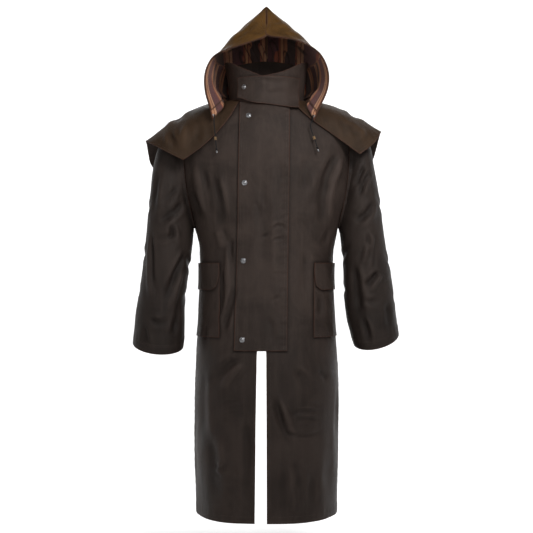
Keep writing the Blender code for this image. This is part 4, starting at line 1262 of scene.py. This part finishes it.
class COAT_OT_collar(bpy.types.Operator):
    """Builds the stand collar and the throat tab"""

    bl_idname = "coat.collar"
    bl_label = "Collar and throat tab"

    def execute(self, context):
        sizes = context.scene.coat_sizes
        cloth = cloth_from("throat_tab", (-1, 0, -1), (1, 0, 0), sizes.cell * SMALL_CELLS)
        crease(cloth, "collar", swell=0.4)
        for edge in ("first", "last", "start", "end"):
            hem(cloth, edge, 0.007, pucker=0.0002)
        cloth.measure()
        finish_piece("throat_tab", cloth, DOUBLED_WALL, "body")
        cloth = cloth_from("collar", (0.2, -1, -2), (-1, 0, 0), sizes.cell * SMALL_CELLS)
        crease(cloth, "collar", swell=0.4)
        hem(cloth, "last", 0.008)
        cloth.measure()
        finish_piece("collar", cloth, COLLAR_WALL, "body", above=["throat_tab"])
        return {"FINISHED"}


class COAT_OT_fly(bpy.types.Operator):
    """Builds the storm fly over the front opening"""

    bl_idname = "coat.fly"
    bl_label = "Storm fly"

    def execute(self, context):
        cloth = cloth_from("storm_fly", (-1, 0, -1), (1, 0, 0), context.scene.coat_sizes.cell * FLY_CELLS)
        crease(cloth, "front")
        for edge, width in (("first", 0.012), ("start", 0.010), ("end", 0.011)):
            hem(cloth, edge, width, pucker=0.0006 if edge == "end" else 0.0003)
        cloth.measure()
        finish_piece("storm_fly", cloth, DOUBLED_WALL, "body")
        return {"FINISHED"}


class COAT_OT_pockets(bpy.types.Operator):
    """Builds the patch pockets and their flaps"""

    bl_idname = "coat.pockets"
    bl_label = "Pockets and flaps"

    def execute(self, context):
        sizes = context.scene.coat_sizes
        for word, side in SIDES:
            for kind in ("pocket_flap", "pocket"):
                cell = sizes.cell * SMALL_CELLS
                cloth = cloth_from(f"{kind}_{word}", (0, -1, -1), (side * 0.2, 1, 0), cell)
                crease(cloth, "front")
                for edge in ("first", "start", "end", "last"):
                    hem(cloth, edge, 0.009, pucker=0.0003)
                cloth.measure()
                above = [f"pocket_flap_{word}"] if kind == "pocket" else ()
                finish_piece(
                    f"{kind}_{word}", cloth, sizes.wall, "body", above=above
                )
        return {"FINISHED"}


class COAT_OT_cape(bpy.types.Operator):
    """Builds the shoulder cape"""

    bl_idname = "coat.cape"
    bl_label = "Shoulder cape"

    def execute(self, context):
        sizes = context.scene.coat_sizes
        cloth = cloth_from("cape", (0.3, -1, 1), (-1, 0, 0), sizes.cell)
        crease(cloth, "cape")
        hem(cloth, "last", 0.012)
        cloth.measure()
        above = ["collar", "hood_right", "hood_left"]
        finish_piece(
            "cape", cloth, sizes.wall, "cape", "inside", above=above
        )
        return {"FINISHED"}


class COAT_OT_hood(bpy.types.Operator):
    """Builds the two halves of the hood and their lining"""

    bl_idname = "coat.hood"
    bl_label = "Hood and lining"

    def execute(self, context):
        for word, side in SIDES:
            cloth = hood_sheet(f"hood_{word}", side)
            settle_on_cape(cloth)
            values = {"stripe": over_stripes(cloth)}
            crease(cloth, "hood", swell=0.6)
            hem(cloth, "start", 0.018, rise=0.0012)
            hem(cloth, "end", 0.010, rise=0.0008)
            cloth.measure()
            wall, rests_on = context.scene.coat_sizes.wall, ["cloth_cape"]
            finish_piece(
                f"hood_{word}", cloth, wall, "hood", "lining", values
            )
            cloth = hood_sheet(f"hood_lining_{word}", side)
            stripe, before = over_stripes(cloth), cloth.points.copy()
            crease(cloth, "hood", swell=0.6, inner="lining")
            values = {"stripe": stripe + np.linalg.norm(cloth.points - before, axis=-1) / MM}
            name, rests_on = f"hood_lining_{word}", [f"cloth_hood_{word}"]
            finish_piece(
                name, cloth, LINING_WALL, "lining", values=values
            )
        return {"FINISHED"}


def hood_sheet(node, side):
    """A half of the hood or of its lining, closed at the seam between the halves."""
    cell = bpy.context.scene.coat_sizes.cell * HOOD_CELLS
    cloth = cloth_from(node, (side * 0.5, -1, -0.6), (0, 1, 0), cell, peaked=True)
    close_seam(cloth, side)
    return cloth


def over_stripes(cloth):
    """How far across the stripes each point lies, in mm."""
    crown = cloth.points[..., 0] / MM - STRIPE_MIDDLE_MM
    bands = STRIPE_START_MM + cloth.u / MM
    return np.where(cloth.points[..., 2] > STRIPE_SEAM_Z, crown, bands)


def close_seam(cloth, side, gap=0.0002, reach=0.022):
    """Brings the edge that is sewn to the other half up to the middle."""
    off = cloth.points[:, -1:, 0] - side * gap
    cloth.points[..., 0] -= off * (1 - step(cloth.edge("end"), 0, reach))
    cloth.measure()


def settle_on_cape(cloth, reach=0.06):
    """Lets a hood half's lower edge down onto the cape, from a little behind the face opening."""
    share = 1 - step(cloth.edge("first"), 0, reach)
    bm = merged("cape")
    cape = BVHTree.FromBMesh(bm)
    bm.free()
    drops = []
    for place in cloth.points[0]:
        hit = cape.ray_cast(Vector(place) + Vector((0, 0, 0.03)), Vector((0, 0, -1)), 0.09)[0]
        drops.append(0.0 if hit is None else max(0.0, place[2] - hit.z - 0.001))
    drops = np.convolve(np.pad(drops, 4, mode="edge"), np.ones(9) / 9, "valid")
    cloth.points[..., 2] -= drops * share * step(cloth.u[:1], 0.025, 0.07)
    cloth.measure()


def turned(name, rings, sides, finish, ring_shaped=False):
    """Turns a piece round Z: a circle is extruded and resized from ring to ring, and its ends are closed."""
    bpy.ops.object.select_all(action="DESELECT")
    (radius, height), *others = rings
    bpy.ops.mesh.primitive_circle_add(
        vertices=sides, radius=radius * MM, location=(0, 0, height * MM),
        fill_type="NOTHING" if ring_shaped else "NGON",
    )
    obj = bpy.context.object
    obj.name = obj.data.name = name
    bpy.ops.object.transform_apply(location=True, rotation=True, scale=True)
    bpy.ops.object.mode_set(mode="EDIT")
    bpy.ops.mesh.select_mode(type="EDGE")
    bpy.ops.mesh.select_all(action="SELECT")
    for new_radius, new_height in [*others, rings[0]] if ring_shaped else others:
        bpy.ops.mesh.extrude_edges_move(TRANSFORM_OT_translate={"value": (0, 0, (new_height - height) * MM)})
        grow = new_radius / radius
        bpy.ops.transform.resize(value=(grow, grow, 1), center_override=(0, 0, new_height * MM))
        radius, height = new_radius, new_height
    if not ring_shaped:
        bpy.ops.mesh.edge_face_add()
    bpy.ops.mesh.select_all(action="SELECT")
    bpy.ops.mesh.remove_doubles(threshold=1e-6)
    bpy.ops.mesh.normals_make_consistent(inside=False)
    bpy.ops.object.mode_set(mode="OBJECT")
    soft = obj.modifiers.new("Soft edges", "SUBSURF")
    soft.levels = soft.render_levels = 1
    bpy.ops.object.modifier_apply(modifier=soft.name)
    bpy.ops.object.shade_smooth()
    obj.data.materials.append(named(finish))
    return obj


def stand_in(obj, node):
    """Lets a piece ride on the coat in the place of its solid."""
    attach(obj, BODY)
    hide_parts(node)
    return obj


def placed(obj, middle, axis, node):
    """Stands a turned piece on its seat, where it takes the place of its solid."""
    turn = Vector(axis).to_track_quat("Z", "Y").to_matrix().to_4x4()
    obj.data.transform(Matrix.Translation(Vector(middle)) @ turn)
    return stand_in(obj, node)


def copied(obj, name):
    """A copy of a piece with its own mesh."""
    other = obj.copy()
    other.data = obj.data.copy()
    other.name = other.data.name = name
    bpy.context.scene.collection.objects.link(other)
    return other


def long_axis(node):
    """The middle of a long turned solid and the way it runs.

    The middle is its points' mean, or its box's middle where the points are crowded at one end.
    """
    bm = merged(node)
    points = np.array([v.co for v in bm.verts])
    bm.free()
    middle = (points.min(0) + points.max(0)) / 2
    middle = points.mean(0) if np.linalg.norm(points.mean(0) - middle) < 0.0003 else middle
    _, ways = np.linalg.eigh(np.cov((points - points.mean(0)).T))
    return middle, ways[:, 2] * (1 if ways[2, 2] > 0 else -1)


def evenly(path, count):
    """This many points, evenly apart on a smooth curve through a path's points."""
    run = run_lengths(path)
    at = np.interp(np.linspace(0, run[-1], count), run, np.arange(len(run)))
    return finer(path[:, None], at)[:, 0]


def route(spot, normal, word):
    """A drawcord's path, from its eyelet to its knot, on a smooth curve through its route's points."""
    off = [np.array(spot) + np.array(normal) * far * MM for far in CORD_START_MM]
    return evenly(np.array(off + [np.array(place) * MM for place in CORD_ROUTES[word]]), CORD_POINTS)


def tube(name, path, radius, sides, finish, closed=False, braid=0.0, pitch=0.005):
    """A round tube along a path, with crossed ridges like a braid's."""
    path = np.asarray(path)
    if closed:
        ahead, behind = np.roll(path, -1, 0), np.roll(path, 1, 0)
    else:
        ahead, behind = np.concatenate([path[1:], path[-1:]]), np.concatenate([path[:1], path[:-1]])
    ways = ahead - behind
    ways /= np.linalg.norm(ways, axis=1, keepdims=True)
    side = np.cross(ways[0], (0.31, 0.9, 0.3))
    turns = 2 * math.pi * np.arange(sides) / sides
    run = run_lengths(path)
    rings = []
    for place, way, far in zip(path, ways, run):
        side = side - way * np.dot(side, way)
        side /= np.linalg.norm(side)
        other = np.cross(way, side)
        twist = far * 2 * math.pi / pitch
        wave = np.maximum(np.cos(3 * turns + twist), np.cos(3 * turns - twist))
        r = (radius * (1 - braid + braid * wave))[:, None]
        rings.append(place + r * (np.cos(turns)[:, None] * side + np.sin(turns)[:, None] * other))
    last = (len(rings) - 1) * sides
    faces = [tuple(f) for f in grid_faces(len(rings), sides, True, -1)]
    if closed:
        faces += [(last + k, k, (k + 1) % sides, last + (k + 1) % sides) for k in range(sides)]
    else:
        faces += [tuple(range(sides)), tuple(last + k for k in range(sides))[::-1]]
    obj = mesh_object(name, np.array(rings).reshape(-1, 3), faces, [named(finish)])
    bm = bmesh.new()
    bm.from_mesh(obj.data)
    bmesh.ops.recalc_face_normals(bm, faces=bm.faces)
    bm.to_mesh(obj.data)
    bm.free()
    return obj


class COAT_OT_fittings(bpy.types.Operator):
    """Builds the snaps and the eyelets"""

    bl_idname = "coat.fittings"
    bl_label = "Snaps and eyelets"

    def execute(self, context):
        snap = turned("snap", SNAP_RINGS, SNAP_SIDES, "nickel")
        eyelet = turned("eyelet", EYELET_RINGS, EYELET_SIDES, "nickel", ring_shaped=True)
        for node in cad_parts:
            if node.startswith(("snap", "eyelet")):
                middle, normal = seat(node)
                made = copied(snap if node.startswith("snap") else eyelet, f"metal_{node}")
                placed(made, middle, normal, node)
        for model in (snap, eyelet):
            bpy.data.objects.remove(model)
        return {"FINISHED"}


def knot(word):
    """A drawcord's knot: a loop of cord that crosses itself three times, in the place of its solid."""
    bm = merged(f"cord_knot_{word}")
    middle = np.array(sum((v.co for v in bm.verts), Vector()) / len(bm.verts))
    bm.free()
    t = np.linspace(0, 2 * math.pi, KNOT_POINTS + 1)[:-1]
    across, deep, up = np.sin(t) + 2 * np.sin(2 * t), -1.5 * np.sin(3 * t), np.cos(t) - 2 * np.cos(2 * t)
    loop = middle + np.stack([across, deep, up], axis=1) * KNOT_LOOP_MM * MM
    made = tube(f"knot_{word}", loop, KNOT_CORD_MM * MM, 12, "cord", closed=True, braid=0.08)
    return stand_in(made, f"cord_knot_{word}")


class COAT_OT_drawcords(bpy.types.Operator):
    """Builds the drawcords with their toggles, knots and beads"""

    bl_idname = "coat.drawcords"
    bl_label = "Drawcords"

    def execute(self, context):
        toggle = turned("toggle", TOGGLE_RINGS, SMALL_SIDES, "leather", ring_shaped=True)
        bead = turned("bead", BEAD_RINGS, SMALL_SIDES, "nickel")
        models = ((toggle, "cord_toggle", "toggle_leather"), (bead, "cord_bead", "nickel"))
        for word, _ in SIDES:
            path = route(*seat(f"eyelet_{word}"), word)
            length = float(run_lengths(path)[-1])
            fine = evenly(path, int(length / BRAID_STEP))
            cord = tube(f"cord_{word}", fine, CORD_RADIUS_MM * MM, 16, "cord", braid=0.09)
            stand_in(cord, f"drawcord_{word}")
            for model, kind, slot in models:
                middle, axis = long_axis(f"{kind}_{word}")
                made = copied(model, f"{kind}_piece_{word}")
                placed(made, middle, axis, f"{kind}_{word}")
            knot(word)
            tuple(path[0])
        for model in (toggle, bead):
            bpy.data.objects.remove(model)
        return {"FINISHED"}


class COAT_OT_stage(bpy.types.Operator):
    """Builds the backdrop, the lights and the camera"""

    bl_idname = "coat.stage"
    bl_label = "Stage"

    def execute(self, context):
        build_backdrop()
        world = bpy.data.worlds.new("Studio")
        context.scene.world = world
        world.use_nodes = True
        background = world.node_tree.nodes["Background"]
        background.inputs["Color"].default_value = (1, 1, 1, 1)
        background.inputs["Strength"].default_value = WORLD_LIGHT
        for light in LIGHTS:
            add_light(*light)
        add_camera()
        context.scene.view_settings.view_transform = "Standard"
        return {"FINISHED"}


def build_backdrop():
    """A floor that rounds up into a wall far behind the coat."""
    middle_y, middle_z = BACK_Y - ROUND_RADIUS, FLOOR_Z + ROUND_RADIUS
    turns = np.linspace(0, math.pi / 2, ROUND_STEPS + 1)
    profile = [(FLOOR_FRONT_Y, FLOOR_Z)]
    profile += [(middle_y + ROUND_RADIUS * math.sin(t), middle_z - ROUND_RADIUS * math.cos(t)) for t in turns]
    profile.append((BACK_Y, WALL_TOP_Z))
    points = [(x, y, z) for x in (-HALF_WIDTH, HALF_WIDTH) for y, z in profile]
    n = len(profile)
    faces = [(i, n + i, n + i + 1, i + 1) for i in range(n - 1)]
    mesh_object("backdrop", points, faces, [named("stage")])


def add_light(name, place, size, power, aim):
    """A square studio light that looks at a point."""
    light = bpy.data.lights.new(name, "AREA")
    light.shape, light.size, light.energy = "SQUARE", size, power
    lamp = bpy.data.objects.new(name, light)
    lamp.location = place
    lamp.rotation_euler = (Vector(aim) - Vector(place)).to_track_quat("-Z", "Y").to_euler()
    bpy.context.scene.collection.objects.link(lamp)


def add_camera():
    """The camera at the photo's angle, level and straight in front."""
    camera = bpy.data.objects.new("camera", bpy.data.cameras.new("camera"))
    camera.location = CAMERA_PLACE
    camera.rotation_euler = (math.pi / 2, 0, 0)
    camera.data.lens = CAMERA_LENS_MM
    camera.data.sensor_width = SENSOR_WIDTH_MM
    bpy.context.scene.collection.objects.link(camera)
    bpy.context.scene.camera = camera


PIECES = (
    COAT_OT_hood, COAT_OT_collar, COAT_OT_cape, COAT_OT_sleeves, COAT_OT_fly, COAT_OT_pockets, COAT_OT_body,
    COAT_OT_fittings, COAT_OT_drawcords, COAT_OT_stage,
)


class COAT_PT_panel(bpy.types.Panel):
    """Lists the coat's sizes, colours and pieces"""

    bl_idname = "COAT_PT_panel"
    bl_label = "Duster coat"
    bl_space_type = "VIEW_3D"
    bl_region_type = "UI"
    bl_category = "Coat"

    def draw(self, context):
        for group in (context.scene.coat_sizes, context.scene.coat_colours):
            for key in group.bl_rna.properties.keys():
                if key not in ("rna_type", "name"):
                    self.layout.prop(group, key)
        for piece in PIECES:
            self.layout.operator(piece.bl_idname)


CLASSES = (CoatSizes, CoatColours, *PIECES, COAT_PT_panel)


def register():
    for cls in CLASSES:
        bpy.utils.register_class(cls)
    bpy.types.Scene.coat_sizes = PointerProperty(type=CoatSizes)
    bpy.types.Scene.coat_colours = PointerProperty(type=CoatColours)


def unregister():
    del bpy.types.Scene.coat_colours
    del bpy.types.Scene.coat_sizes
    for cls in reversed(CLASSES):
        bpy.utils.unregister_class(cls)


def main():
    register()
    bpy.ops.object.select_all(action="DESELECT")
    bpy.ops.coat.hood()
    bpy.ops.coat.collar()
    bpy.ops.coat.cape()
    bpy.ops.coat.sleeves()
    bpy.ops.coat.fly()
    bpy.ops.coat.pockets()
    bpy.ops.coat.body()
    bpy.ops.coat.fittings()
    bpy.ops.coat.drawcords()
    bpy.ops.coat.stage()
    bpy.context.view_layer.update()


if __name__ == "__main__":
    main()
